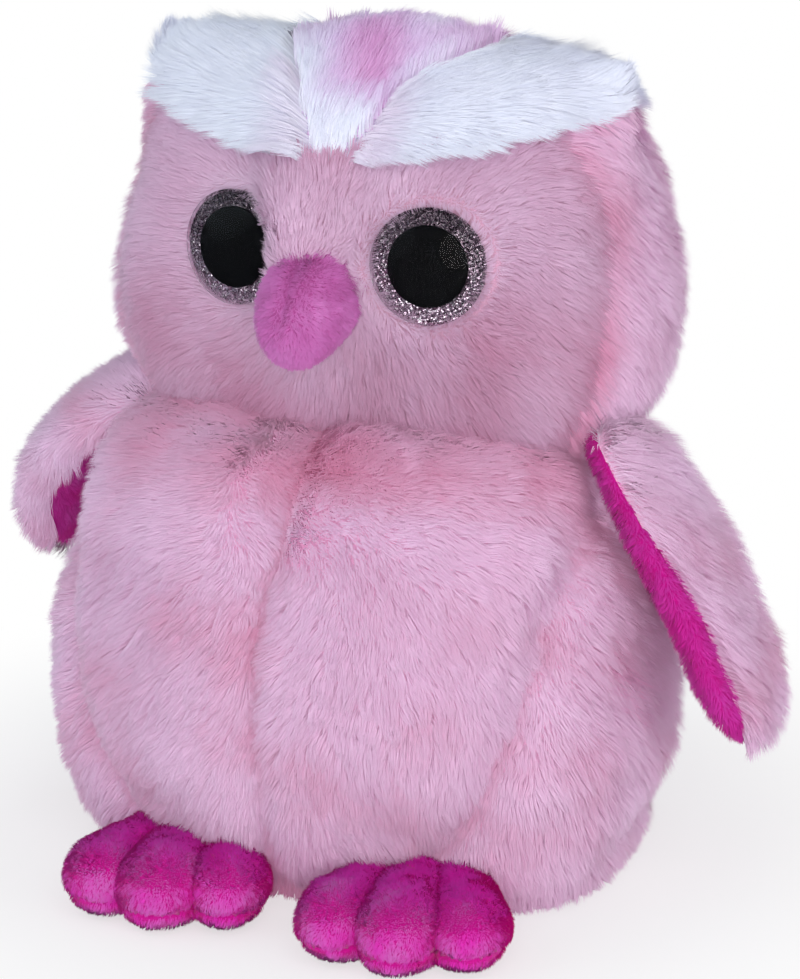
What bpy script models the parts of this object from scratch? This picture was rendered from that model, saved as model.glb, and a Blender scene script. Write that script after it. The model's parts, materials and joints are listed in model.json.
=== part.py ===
"""A stuffed toy owl, modelled as it is sewn: covers cut from plush panels round their fillings, and
plastic eyes locked through the face. Metres, +Z up, the owl faces -Y and its left side is at +X.
The origin is on the flat underside, below the middle of the body."""

import math
from dataclasses import dataclass, replace

import bmesh
import bpy
import numpy as np
from mathutils import Matrix, Vector

# Cloth, seams and filling
COVER_WALL = 0.0028
SHORT_PLUSH_WALL = 0.0018
SEAM_GAP = 0.0004
FILL_GAP = 0.0006
BASE_FLAT_CUT = 0.0005
CUT_OVERRUN = 0.02

# Body: a bell, flat underneath
BODY_HEIGHT = 0.134
BODY_HALF_WIDTH = 0.0875
BODY_FRONT_DEPTH = 0.069
BODY_BACK_DEPTH = 0.067
BODY_SQUARENESS = 2.25
BELLY_FORWARD = 0.015
BODY_PROFILE_SHARES = (
    (0.0, 0.0),
    (0.0, 0.50),
    (0.0, 0.87),
    (0.03, 0.935),
    (0.10, 0.98),
    (0.22, 1.0),
    (0.35, 1.0),
    (0.48, 0.975),
    (0.60, 0.935),
    (0.71, 0.88),
    (0.81, 0.80),
    (0.90, 0.66),
    (0.97, 0.38),
    (1.0, 0.0),
)
BASE_PANEL_SHARE = 0.55
TUMMY_HALF_WIDTH_SHARE = 0.76
TUMMY_TOP_SHARE = 0.86
TUMMY_BOTTOM_SHARE = 0.06
TUMMY_SQUARENESS = 2.7
NECK_OPENING_RADIUS = 0.030

# Pellet pouch that weights the seat
POUCH_RADIUS = 0.034
POUCH_HEIGHT = 0.020

# Head: a wide, slightly square ball that sits down over the neck
HEAD_HEIGHT = 0.125
HEAD_HALF_WIDTH = 0.0775
HEAD_FRONT_DEPTH = 0.053
HEAD_BACK_DEPTH = 0.056
HEAD_SQUARENESS = 2.3
HEAD_SINK = 0.034
HEAD_BACKWARD = 0.003
HEAD_ASIDE = 0.003
HEAD_PROFILE_SHARES = (
    (0.0, 0.0),
    (0.0, 0.30),
    (0.035, 0.56),
    (0.12, 0.76),
    (0.25, 0.915),
    (0.42, 1.0),
    (0.58, 0.985),
    (0.74, 0.90),
    (0.87, 0.72),
    (0.96, 0.46),
    (1.0, 0.22),
    (1.0, 0.0),
)
FACE_HALF_WIDTH_SHARE = 0.84
FACE_MIDDLE_SHARE = 0.50
FACE_HALF_HEIGHT_SHARE = 0.58
CROWN_BACK_SHARE = 0.25

# Brow patches with an ear point at their outer ends: across as shares of the head's half width,
# up as shares of its height
BROW_OUTLINE_SHARES = (
    (0.035, 0.752),
    (0.25, 0.775),
    (0.50, 0.800),
    (0.84, 0.872),
    (1.25, 0.93),
    (1.25, 1.18),
    (0.72, 1.14),
    (0.50, 0.985),
    (0.30, 0.935),
    (0.15, 0.87),
)
CROWN_OUTLINE_SHARES = (
    (-0.045, 0.752),
    (0.045, 0.752),
    (0.25, 0.85),
    (0.50, 0.905),
    (0.62, 0.96),
    (0.62, 1.16),
    (-0.62, 1.16),
    (-0.62, 0.96),
    (-0.50, 0.905),
    (-0.25, 0.85),
)
EAR_LENGTH = 0.039
EAR_HALF_WIDTH = 0.017
EAR_HALF_DEPTH = 0.013
EAR_ACROSS_SHARE = 0.50
EAR_UP_SHARE = 0.73
EAR_FORWARD_SHARE = 0.20
EAR_OUT_ANGLE = 49.0
EAR_PROFILE_SHARES = (
    (0.0, 0.0),
    (0.0, 0.60),
    (0.10, 0.95),
    (0.35, 1.0),
    (0.65, 0.72),
    (0.90, 0.36),
    (1.0, 0.20),
    (1.0, 0.0),
)

# Eyes: a clear dome over a black pupil and a glitter disc, on a cup with a ribbed post
EYE_RADIUS = 0.0150
EYE_ACROSS_SHARE = 0.355
EYE_UP_SHARE = 0.570
EYES_ASIDE = 0.0022
EYE_SPLAY = 9.0
EYE_TILT_UP = 3.0
EYE_FIT_GAP = 0.0003
LENS_RISE = 0.0052
LENS_RIM = 0.0014
PUPIL_RADIUS = 0.0106
PUPIL_THICKNESS = 0.0008
GLITTER_THICKNESS = 0.0006
CUP_THICKNESS = 0.0012
EYE_SEAT_DEPTH = 0.0060
POST_RADIUS = 0.0024
POST_LENGTH = 0.0150
POST_RIBS = 3
POST_RIB_HEIGHT = 0.0004
WASHER_RADIUS = 0.0085
WASHER_THICKNESS = 0.0012
WASHER_FLANGE = 0.0020

# Beak
BEAK_LENGTH = 0.034
BEAK_HALF_WIDTH = 0.0140
BEAK_HALF_HEIGHT = 0.0150
BEAK_BURY = 0.012
BEAK_UP_SHARE = 0.497
BEAK_DROOP = 14.0
BEAK_PROFILE_SHARES = (
    (0.0, 0.0),
    (0.0, 0.55),
    (0.08, 0.90),
    (0.30, 1.0),
    (0.55, 0.95),
    (0.78, 0.74),
    (0.93, 0.42),
    (1.0, 0.0),
)

# Wings: flat stuffed flaps sewn to the shoulders
WING_LENGTH = 0.0875
WING_HALF_CHORD = 0.0255
WING_HALF_THICKNESS = 0.0092
WING_SQUARENESS = 2.3
WING_BOW_LEFT = 0.008
WING_BOW_RIGHT = 0.012
WING_HEIGHT_SHARE = 0.862
WING_FORWARD = 0.010
WING_STANDOFF = 0.0026
WING_TWIST_LEFT = 2.0
WING_TWIST_RIGHT = -28.0
WING_REST_LEFT = 33.0
WING_REST_RIGHT = 53.0
WING_SWEEP_LEFT = 2.0
WING_SWEEP_RIGHT = 39.0
WING_PROFILE_SHARES = (
    (0.0, 0.0),
    (0.0, 0.36),
    (0.05, 0.64),
    (0.18, 0.88),
    (0.38, 1.0),
    (0.60, 0.98),
    (0.80, 0.84),
    (0.94, 0.55),
    (1.0, 0.28),
    (1.0, 0.0),
)

# Feet: three stuffed toes from one heel, flat underneath
TOE_LENGTH = 0.055
TOE_HALF_WIDTH = 0.0120
TOE_HALF_HEIGHT = 0.0108
TOE_BELOW_FLOOR = 0.0012
TOE_FAN = 16.0
TOE_ROLL = 9.0
TOE_STAGGER = 0.0040
MIDDLE_TOE_SCALE = 1.06
FOOT_ACROSS_LEFT = 0.033
FOOT_ACROSS_RIGHT = 0.031
FOOT_HEEL_FORWARD = 0.043
FOOT_TURN_LEFT = 15.0
FOOT_TURN_RIGHT = 10.0
SOLE_SEAM_HEIGHT = 0.0062
TOE_PROFILE_SHARES = (
    (0.0, 0.0),
    (0.0, 0.40),
    (0.06, 0.66),
    (0.25, 0.82),
    (0.55, 0.94),
    (0.76, 1.0),
    (0.90, 0.80),
    (0.98, 0.42),
    (1.0, 0.0),
)

# Mesh fineness
BIG_SEGMENTS = 32
BIG_RINGS = 14
FILL_SEGMENTS = 16
LIMB_SEGMENTS = 16
LIMB_RINGS = 9
TOE_SEGMENTS = 12
TOE_RINGS = 8
PROFILE_STEPS = 12
OUTLINE_STEPS = 22
DISC_SEGMENTS = 20
POST_SEGMENTS = 12
DOME_STEPS = 4
MERGE_DISTANCE = 0.00001

PALE_PINK = (0.83, 0.60, 0.74)
FACE_PINK = (0.80, 0.52, 0.66)
CROWN_PINK = (0.86, 0.62, 0.80)
BROW_WHITE = (0.86, 0.88, 0.93)
MAGENTA = (0.58, 0.02, 0.30)
BEAK_PINK = (0.66, 0.16, 0.46)
FIBRE_WHITE = (0.90, 0.90, 0.88)
POUCH_GREY = (0.62, 0.62, 0.60)
EYE_BLACK = (0.008, 0.008, 0.010)
GLITTER = (0.55, 0.42, 0.50)
CLEAR = (0.95, 0.95, 0.97)


@dataclass(frozen=True)
class Form:
    """A stuffed shape: rings stacked up +Z from base, each a rounded oval. The middle rings
    are moved towards -Y by the bow."""

    height: float
    half_width: float
    front: float
    back: float
    shares: tuple
    squareness: float = 2.0
    base: tuple = (0.0, 0.0, 0.0)
    bow: float = 0.0

    def inset(self, by):
        """The same shape drawn in by a wall's thickness on every side."""
        x, y, z = self.base
        return replace(
            self,
            height=self.height - 2 * by,
            half_width=self.half_width - by,
            front=self.front - by,
            back=self.back - by,
            base=(x, y, z + by),
        )

    def rings(self, count):
        """Height and radius shares of count + 1 rings, evenly spaced along the profile."""
        line = smooth_line(self.shares, PROFILE_STEPS)
        steps = np.linalg.norm(np.diff(line * (self.height, self.half_width), axis=0), axis=1)
        run = np.concatenate([[0.0], np.cumsum(steps)])
        even = np.linspace(0.0, run[-1], count + 1)
        return np.interp(even, run, line[:, 0]), np.interp(even, run, line[:, 1])

    def radius_share(self, z):
        """The ring's share of the full radius at world height z, above the widest ring or below."""
        line = smooth_line(self.shares, PROFILE_STEPS)
        rising = np.maximum.accumulate(line[:, 0])
        return float(np.interp((z - self.base[2]) / self.height, rising, line[:, 1]))

    def front_point(self, x, z):
        """The point of the front surface at world x and z."""
        share = self.radius_share(z)
        across = abs(x - self.base[0]) / (self.half_width * share)
        depth = (1.0 - across**self.squareness) ** (1.0 / self.squareness)
        up = (z - self.base[2]) / self.height
        middle = self.base[1] - 4 * self.bow * up * (1.0 - up)
        return Vector((x, middle - self.front * share * depth, z))

    def side_x(self, z):
        """Half the width at world height z."""
        return self.half_width * self.radius_share(z)


def smooth_line(points, steps, closed=False):
    """Points on a Catmull-Rom curve through the given points, with steps of them per span."""
    p = np.array(points, float)
    if closed:
        p = np.vstack([p[-1:], p, p[:2]])
    else:
        p = np.vstack([2 * p[0] - p[1], p, 2 * p[-1] - p[-2]])
    t = np.linspace(0.0, 1.0, steps, endpoint=False)[:, None]
    spans = [
        0.5
        * (
            2 * b
            + (c - a) * t
            + (2 * a - 5 * b + 4 * c - d) * t**2
            + (3 * b - a - 3 * c + d) * t**3
        )
        for a, b, c, d in zip(p[:-3], p[1:-2], p[2:-1], p[3:])
    ]
    line = np.vstack(spans)
    return line if closed else np.maximum(np.vstack([line, p[-2]]), 0.0)


def new_object(name, mesh, collection):
    obj = bpy.data.objects.new(name, mesh)
    collection.objects.link(obj)
    return obj


def fixed_mesh(obj):
    """Gives obj the mesh that its modifiers make, and removes them."""
    bpy.context.view_layer.update()
    graph = bpy.context.evaluated_depsgraph_get()
    made = bpy.data.meshes.new_from_object(obj.evaluated_get(graph))
    obj.modifiers.clear()
    obj.data = made
    return obj


def boolean(target, tool, operation):
    modifier = target.modifiers.new(operation.lower(), "BOOLEAN")
    modifier.operation = operation
    modifier.solver = "EXACT"
    modifier.object = tool
    fixed_mesh(target)
    bpy.data.objects.remove(tool)
    return target


def cut(target, *tools):
    for tool in tools:
        boolean(target, tool, "DIFFERENCE")
    return target


def keep(target, *tools):
    for tool in tools:
        boolean(target, tool, "INTERSECT")
    return target


def join(target, *tools):
    for tool in tools:
        boolean(target, tool, "UNION")
    return target


def ball(name, form, segments, rings, place=None):
    """A sphere primitive shaped into a form. Its meridians straddle the middle plane."""
    bm = bmesh.new()
    bmesh.ops.create_uvsphere(bm, u_segments=segments, v_segments=rings, radius=1.0)
    mesh = bpy.data.meshes.new(name)
    bm.to_mesh(mesh)
    bm.free()
    points = np.empty(len(mesh.vertices) * 3)
    mesh.vertices.foreach_get("co", points)
    points = points.reshape(-1, 3)
    ring = rings * (1.0 - np.arccos(np.clip(points[:, 2], -1.0, 1.0)) / math.pi)
    heights, radii = form.rings(rings)
    up = np.interp(ring, np.arange(rings + 1), heights)
    out = np.interp(ring, np.arange(rings + 1), radii)
    angle = np.arctan2(points[:, 1], points[:, 0]) + math.pi / segments
    n = form.squareness
    out = out * (np.abs(np.cos(angle)) ** n + np.abs(np.sin(angle)) ** n) ** (-1.0 / n)
    depth = np.where(np.sin(angle) < 0, form.front, form.back)
    points[:, 0] = form.half_width * out * np.cos(angle)
    points[:, 1] = depth * out * np.sin(angle) - 4 * form.bow * up * (1.0 - up)
    points[:, 2] = form.height * up
    points += np.array(form.base)
    mesh.vertices.foreach_set("co", points.ravel())
    mesh.update()
    obj = new_object(name, mesh, cutters)
    if place is not None:
        mesh.transform(place)
    return obj


def box(low, high, place=None):
    """A box tool from its lowest to its highest corner."""
    bm = bmesh.new()
    bmesh.ops.create_cube(bm, size=1.0)
    size = Vector(high) - Vector(low)
    middle = (Vector(high) + Vector(low)) / 2
    bmesh.ops.scale(bm, vec=size, verts=bm.verts)
    bmesh.ops.translate(bm, vec=middle, verts=bm.verts)
    mesh = bpy.data.meshes.new("box_tool")
    bm.to_mesh(mesh)
    bm.free()
    if place is not None:
        mesh.transform(place)
    return new_object("box_tool", mesh, cutters)


def drum(radius, low, high, place=None, segments=DISC_SEGMENTS):
    """A round tool or disc about local Z, from height low to height high."""
    bm = bmesh.new()
    bmesh.ops.create_cone(
        bm, cap_ends=True, segments=segments, radius1=radius, radius2=radius, depth=high - low
    )
    bmesh.ops.translate(bm, vec=(0.0, 0.0, (low + high) / 2), verts=bm.verts)
    mesh = bpy.data.meshes.new("drum_tool")
    bm.to_mesh(mesh)
    bm.free()
    if place is not None:
        mesh.transform(place)
    return new_object("drum_tool", mesh, cutters)


def grown(outline, by):
    """The flat outline, which runs anticlockwise, with every side moved outwards."""
    p = np.array(outline, float)
    along = np.roll(p, -1, axis=0) - p
    along /= np.linalg.norm(along, axis=1)[:, None]
    side = np.stack([along[:, 1], -along[:, 0]], axis=1)
    mitre = side + np.roll(side, 1, axis=0)
    mitre /= 1.0 + (side * np.roll(side, 1, axis=0)).sum(axis=1)[:, None]
    return p + by * mitre


def prism(outline, near, far, upright=False):
    """A tool with a flat outline: in X and Z and carried along Y, or in X and Y and carried up Z."""
    curve = bpy.data.curves.new("prism_tool", "CURVE")
    curve.dimensions = "2D"
    curve.fill_mode = "BOTH"
    curve.extrude = (far - near) / 2
    spline = curve.splines.new("POLY")
    spline.points.add(len(outline) - 1)
    for point, (across, up) in zip(spline.points, outline):
        point.co = (across, up, 0.0, 1.0)
    spline.use_cyclic_u = True
    obj = new_object("prism_outline", curve, cutters)
    bpy.context.view_layer.update()
    graph = bpy.context.evaluated_depsgraph_get()
    mesh = bpy.data.meshes.new_from_object(obj.evaluated_get(graph))
    bpy.data.objects.remove(obj)
    bm = bmesh.new()
    bm.from_mesh(mesh)
    bmesh.ops.remove_doubles(bm, verts=bm.verts, dist=MERGE_DISTANCE)
    bmesh.ops.recalc_face_normals(bm, faces=bm.faces)
    bm.to_mesh(mesh)
    bm.free()
    middle = (far + near) / 2
    if upright:
        mesh.transform(Matrix.Translation((0.0, 0.0, middle)))
    else:
        turn = Matrix.Rotation(math.radians(90), 4, "X")
        mesh.transform(Matrix.Translation((0.0, middle, 0.0)) @ turn)
    return new_object("prism_tool", mesh, cutters)


def turned(name, profile, segments, place):
    """A solid of revolution about local Z. The profile runs down the outer side at +X."""
    mesh = bpy.data.meshes.new(name)
    edges = [(i, i + 1) for i in range(len(profile) - 1)]
    mesh.from_pydata([(r, 0.0, z) for r, z in profile], edges, [])
    obj = new_object(name, mesh, cutters)
    screw = obj.modifiers.new("turn", "SCREW")
    screw.steps = segments
    screw.render_steps = segments
    screw.use_merge_vertices = True
    screw.merge_threshold = MERGE_DISTANCE
    fixed_mesh(obj)
    obj.matrix_world = place
    return obj


def finish(obj, name, material, smooth_angle=40.0, origin=None, holder=None):
    """Makes a shape a piece of the owl: named, coloured, shaded, and placed in its holder."""
    cutters.objects.unlink(obj)
    owl.objects.link(obj)
    obj.name = name
    obj.data.name = name
    obj.data.materials.clear()
    obj.data.materials.append(material)
    obj.data.shade_smooth()
    obj.data.set_sharp_from_angle(angle=math.radians(smooth_angle))
    if origin is not None:
        obj.data.transform(Matrix.Translation(-Vector(origin)))
        obj.location = origin
    if holder is not None:
        bpy.context.view_layer.update()
        placed = obj.matrix_world.copy()
        obj.parent = holder
        obj.matrix_parent_inverse = holder.matrix_world.inverted()
        obj.matrix_world = placed
    return obj


def surface(name, colour, roughness, transmission=0.0):
    """A plain material in the photographed colour."""
    material = bpy.data.materials.new(name)
    material.use_nodes = True
    shader = material.node_tree.nodes["Principled BSDF"]
    shader.inputs["Base Color"].default_value = (*colour, 1.0)
    shader.inputs["Roughness"].default_value = roughness
    shader.inputs["Metallic"].default_value = 0.0
    shader.inputs["Transmission Weight"].default_value = transmission
    material.diffuse_color = (*colour, 1.0)
    return material


def holder_at(name, place):
    empty = bpy.data.objects.new(name, None)
    empty.matrix_world = place
    owl.objects.link(empty)
    return empty


def half_space(side, middle=0.0):
    """Everything on one side of an upright middle plane, half a seam gap from it."""
    reach = BODY_HALF_WIDTH + HEAD_HALF_WIDTH
    top = BODY_HEIGHT + HEAD_HEIGHT
    near, far = sorted((middle + side * SEAM_GAP / 2, side * reach))
    return box((near, -reach, -CUT_OVERRUN), (far, reach, top))


def level_slab(low, high):
    """Everything between two levels."""
    reach = BODY_HALF_WIDTH + TOE_LENGTH + WING_LENGTH
    return box((-reach, -reach, low), (reach, reach, high))


# Body

def body_form():
    return Form(
        BODY_HEIGHT + BASE_FLAT_CUT,
        BODY_HALF_WIDTH,
        BODY_FRONT_DEPTH,
        BODY_BACK_DEPTH,
        BODY_PROFILE_SHARES,
        BODY_SQUARENESS,
        (0.0, 0.0, -BASE_FLAT_CUT),
        BELLY_FORWARD,
    )


def body_shape(inset, segments=BIG_SEGMENTS):
    return ball("body_shape", body_form().inset(inset), segments, BIG_RINGS)


def tummy_outline(grow):
    """A deep U: straight up from its widest level, round below."""
    half = TUMMY_HALF_WIDTH_SHARE * BODY_HALF_WIDTH
    top = TUMMY_TOP_SHARE * BODY_HEIGHT
    drop = top - TUMMY_BOTTOM_SHARE * BODY_HEIGHT
    turn = np.linspace(math.pi, 2 * math.pi, OUTLINE_STEPS)
    power = 2 / TUMMY_SQUARENESS
    across = np.sign(np.cos(turn)) * np.abs(np.cos(turn)) ** power
    arc = np.stack([half * across, top - drop * np.abs(np.sin(turn)) ** power], axis=1)
    over = BODY_HEIGHT + CUT_OVERRUN
    return grown(np.vstack([arc, [(half, over), (-half, over)]]), grow)


def tummy_region(grow=0.0):
    reach = BODY_FRONT_DEPTH + BELLY_FORWARD + CUT_OVERRUN
    return prism(tummy_outline(grow), -reach, -BELLY_FORWARD)


def base_region(grow=0.0):
    turn = np.linspace(0.0, 2 * math.pi, OUTLINE_STEPS, endpoint=False)
    across = BASE_PANEL_SHARE * BODY_HALF_WIDTH + grow
    along = BASE_PANEL_SHARE * BODY_FRONT_DEPTH + grow
    oval = np.stack([across * np.cos(turn), along * np.sin(turn)], axis=1)
    return prism(oval, -CUT_OVERRUN, 2 * COVER_WALL, upright=True)


def neck_region(grow=0.0):
    top = BODY_HEIGHT + CUT_OVERRUN
    return drum(NECK_OPENING_RADIUS + grow, BODY_HEIGHT - CUT_OVERRUN, top)


def body_cover():
    """The whole sewn skin: open at the neck and flat underneath."""
    floor = level_slab(-CUT_OVERRUN, 0.0)
    return cut(body_shape(0.0), body_shape(COVER_WALL), floor, neck_region())


def make_body(pink, fibre, pouch_cloth):
    for side, word in ((1, "left"), (-1, "right")):
        tummy = keep(body_cover(), tummy_region(), half_space(side))
        finish(cut(tummy, base_region(SEAM_GAP)), f"body_tummy_{word}", pink)
        back = cut(body_cover(), tummy_region(SEAM_GAP), base_region(SEAM_GAP))
        finish(keep(back, half_space(side)), f"body_back_{word}", pink)
    finish(keep(body_cover(), base_region()), "body_base", pink)
    filling = body_shape(COVER_WALL + FILL_GAP, FILL_SEGMENTS)
    floor = COVER_WALL + FILL_GAP
    room = drum(POUCH_RADIUS + FILL_GAP, -CUT_OVERRUN, floor + POUCH_HEIGHT + FILL_GAP)
    finish(cut(filling, room), "body_filling", fibre)
    pouch = pouch_form(floor)
    finish(ball("pouch", pouch, LIMB_SEGMENTS, LIMB_RINGS), "pellet_pouch", pouch_cloth)


def pouch_form(floor):
    """A round bag of pellets, flat where it lies on the base panel."""
    flat_bag_shares = (
        (0.0, 0.0),
        (0.0, 0.55),
        (0.0, 0.84),
        (0.22, 1.0),
        (0.60, 0.95),
        (0.90, 0.62),
        (1.0, 0.25),
        (1.0, 0.0),
    )
    return Form(
        POUCH_HEIGHT, POUCH_RADIUS, POUCH_RADIUS, POUCH_RADIUS, flat_bag_shares,
        base=(0.0, 0.0, floor - FILL_GAP / 2),
    )


# Head

def head_form():
    return Form(
        HEAD_HEIGHT,
        HEAD_HALF_WIDTH,
        HEAD_FRONT_DEPTH,
        HEAD_BACK_DEPTH,
        HEAD_PROFILE_SHARES,
        HEAD_SQUARENESS,
        (HEAD_ASIDE, HEAD_BACKWARD, BODY_HEIGHT - HEAD_SINK),
    )


def head_spot(shares):
    """World x and z of points given as shares of the head's half width and height."""
    middle, _, base = head_form().base
    return [(middle + x * HEAD_HALF_WIDTH, base + z * HEAD_HEIGHT) for x, z in shares]


def eye_place(side):
    """The eye's frame: on the face, with local Z looking out."""
    (x, z), = head_spot([(side * EYE_ACROSS_SHARE, EYE_UP_SHARE)])
    spot = head_form().front_point(x + EYES_ASIDE, z)
    look = Matrix.Rotation(math.radians(side * EYE_SPLAY), 4, "Z")
    look @= Matrix.Rotation(math.radians(90 - EYE_TILT_UP), 4, "X")
    return Matrix.Translation(spot) @ look


def dished(shape, depth, wider):
    """Presses a flat seat for each eye into a head shape."""
    for side in (1, -1):
        radius = EYE_RADIUS + EYE_FIT_GAP + wider
        cut(shape, drum(radius, -EYE_SEAT_DEPTH - depth, CUT_OVERRUN, eye_place(side)))
    return shape


def ear_place(side):
    (x, z), = head_spot([(side * EAR_ACROSS_SHARE, EAR_UP_SHARE)])
    root = Vector((x, HEAD_BACKWARD - EAR_FORWARD_SHARE * HEAD_FRONT_DEPTH, z))
    lean = Matrix.Rotation(math.radians(side * EAR_OUT_ANGLE), 4, "Y")
    return Matrix.Translation(root) @ lean


def ear_shape(side, inset):
    ear = Form(
        EAR_LENGTH, EAR_HALF_WIDTH, EAR_HALF_DEPTH, EAR_HALF_DEPTH, EAR_PROFILE_SHARES
    ).inset(inset)
    return ball("ear_shape", ear, LIMB_SEGMENTS, LIMB_RINGS, ear_place(side))


def head_shape(inset, segments=BIG_SEGMENTS):
    """The head with both ear points, drawn in by inset, with its eye seats."""
    shape = ball("head_shape", head_form().inset(inset), segments, BIG_RINGS)
    join(shape, ear_shape(1, inset), ear_shape(-1, inset))
    return dished(shape, inset, inset)


def head_cover():
    """The head's whole skin, open where it sits on the body."""
    return cut(head_shape(0.0), head_shape(COVER_WALL), body_shape(-SEAM_GAP))


def brow_region(side, grow=0.0):
    shares = np.array(BROW_OUTLINE_SHARES) * (side, 1.0)
    outline = head_spot(shares if side > 0 else shares[::-1])
    back = CROWN_BACK_SHARE * HEAD_BACK_DEPTH + grow
    return prism(grown(outline, grow), -HEAD_FRONT_DEPTH - CUT_OVERRUN, back)


def both_brows():
    return [brow_region(side, SEAM_GAP) for side in (1, -1)]


def crown_region(grow=0.0):
    outline = grown(head_spot(CROWN_OUTLINE_SHARES), grow)
    back = CROWN_BACK_SHARE * HEAD_BACK_DEPTH + grow
    return prism(outline, -HEAD_FRONT_DEPTH - CUT_OVERRUN, back)


def face_region(grow=0.0):
    turn = np.linspace(0.0, 2 * math.pi, 2 * OUTLINE_STEPS, endpoint=False)
    middle = head_form().base[2] + FACE_MIDDLE_SHARE * HEAD_HEIGHT
    across = FACE_HALF_WIDTH_SHARE * HEAD_HALF_WIDTH + grow
    up = FACE_HALF_HEIGHT_SHARE * HEAD_HEIGHT + grow
    oval = np.stack([HEAD_ASIDE + across * np.cos(turn), middle + up * np.sin(turn)], axis=1)
    return prism(oval, -HEAD_FRONT_DEPTH - CUT_OVERRUN, HEAD_BACKWARD)


def post_hole(side):
    radius = POST_RADIUS + POST_RIB_HEIGHT + EYE_FIT_GAP
    return drum(radius, -POST_LENGTH - CUT_OVERRUN, CUT_OVERRUN, eye_place(side), POST_SEGMENTS)


def washer_room(side):
    """The hollow in the filling for a washer and the post's end."""
    face = -EYE_SEAT_DEPTH - COVER_WALL
    deep = face - EYE_FIT_GAP - WASHER_THICKNESS - WASHER_FLANGE - FILL_GAP
    wide = drum(WASHER_RADIUS + FILL_GAP, deep, 0.0, eye_place(side))
    end = min(deep, -POST_LENGTH) - FILL_GAP
    radius = POST_RADIUS + POST_RIB_HEIGHT + FILL_GAP
    return wide, drum(radius, end, 0.0, eye_place(side), POST_SEGMENTS)


def make_head(pink, face_pink, crown_pink, white, fibre):
    for side, word in ((1, "left"), (-1, "right")):
        brow = keep(head_cover(), brow_region(side), half_space(side, HEAD_ASIDE))
        finish(brow, f"brow_{word}", white)
        back = cut(head_cover(), *both_brows(), crown_region(SEAM_GAP), face_region(SEAM_GAP))
        finish(keep(back, half_space(side, HEAD_ASIDE)), f"head_back_{word}", pink)
    crown = cut(keep(head_cover(), crown_region()), *both_brows())
    finish(crown, "head_crown", crown_pink)
    face = cut(keep(head_cover(), face_region()), *both_brows(), crown_region(SEAM_GAP))
    finish(cut(face, post_hole(1), post_hole(-1)), "head_face", face_pink)
    filling = head_shape(COVER_WALL + FILL_GAP, FILL_SEGMENTS)
    cut(filling, body_shape(-SEAM_GAP), *washer_room(1), *washer_room(-1))
    finish(filling, "head_filling", fibre)


# Eyes

def lens_profile(floor):
    """A dome with a rim, hollowed underneath for the pupil."""
    rim_top = floor + LENS_RIM
    sphere = (EYE_RADIUS**2 + LENS_RISE**2) / (2 * LENS_RISE)
    edge = math.asin(EYE_RADIUS / sphere)
    turns = np.linspace(0.0, edge, DOME_STEPS + 1)
    dome = [
        (sphere * math.sin(a), rim_top + LENS_RISE - sphere * (1 - math.cos(a))) for a in turns
    ]
    hollow = PUPIL_RADIUS + EYE_FIT_GAP
    ceiling = floor + PUPIL_THICKNESS + EYE_FIT_GAP
    return dome + [(EYE_RADIUS, floor), (hollow, floor), (hollow, ceiling), (0.0, ceiling)]


def post_profile(top):
    """The cup behind the glitter disc, with its ribbed post."""
    cup_radius = EYE_RADIUS - EYE_FIT_GAP
    below = top - CUP_THICKNESS
    profile = [(0.0, top), (cup_radius, top), (cup_radius, below), (POST_RADIUS, below)]
    end = -POST_LENGTH
    pitch = (below - end) / (2 * POST_RIBS + 1)
    for rib in range(POST_RIBS):
        start = below - (2 * rib + 1) * pitch
        profile += [
            (POST_RADIUS, start),
            (POST_RADIUS + POST_RIB_HEIGHT, start - pitch / 2),
            (POST_RADIUS, start - pitch),
        ]
    return profile + [(POST_RADIUS, end), (0.0, end)]


def washer_profile(top):
    """A dished ring with a collar that grips the post's ribs."""
    bore = POST_RADIUS + POST_RIB_HEIGHT + EYE_FIT_GAP
    collar = bore + WASHER_THICKNESS
    below = top - WASHER_THICKNESS
    return [
        (bore, top),
        (WASHER_RADIUS, top),
        (WASHER_RADIUS, below),
        (collar, below),
        (collar, below - WASHER_FLANGE),
        (bore, below - WASHER_FLANGE),
        (bore, top),
    ]


def make_eyes(clear, black, glitter, post_black, washer_white):
    for side, word in ((1, "left"), (-1, "right")):
        place = eye_place(side)
        cup_top = -EYE_SEAT_DEPTH + EYE_FIT_GAP + CUP_THICKNESS
        cup = turned("cup", post_profile(cup_top), DISC_SEGMENTS, place)
        finish(cup, f"eye_{word}_cup", post_black)
        glitter_low = cup_top + EYE_FIT_GAP
        glitter_top = glitter_low + GLITTER_THICKNESS
        disc = drum(EYE_RADIUS - EYE_FIT_GAP, glitter_low, glitter_top)
        disc.matrix_world = place
        finish(disc, f"eye_{word}_glitter", glitter)
        lens_low = glitter_top + EYE_FIT_GAP
        pupil = drum(PUPIL_RADIUS, lens_low, lens_low + PUPIL_THICKNESS)
        pupil.matrix_world = place
        finish(pupil, f"eye_{word}_pupil", black)
        lens = turned("lens", lens_profile(lens_low), DISC_SEGMENTS, place)
        finish(lens, f"eye_{word}_lens", clear)
        washer_top = -EYE_SEAT_DEPTH - COVER_WALL - EYE_FIT_GAP
        washer = turned("washer", washer_profile(washer_top), DISC_SEGMENTS, place)
        finish(washer, f"eye_{word}_washer", washer_white)


# Beak

def beak_shape(inset, segments=LIMB_SEGMENTS):
    """An egg that points forwards and a little down, buried in the face at its root."""
    (x, z), = head_spot([(0.0, BEAK_UP_SHARE)])
    root = head_form().front_point(x, z) + Vector((0.0, BEAK_BURY, 0.0))
    point = Matrix.Translation(root) @ Matrix.Rotation(math.radians(90 + BEAK_DROOP), 4, "X")
    egg = Form(
        BEAK_LENGTH, BEAK_HALF_WIDTH, BEAK_HALF_HEIGHT, BEAK_HALF_HEIGHT, BEAK_PROFILE_SHARES
    ).inset(inset)
    return ball("beak_shape", egg, segments, LIMB_RINGS, point)


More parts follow.
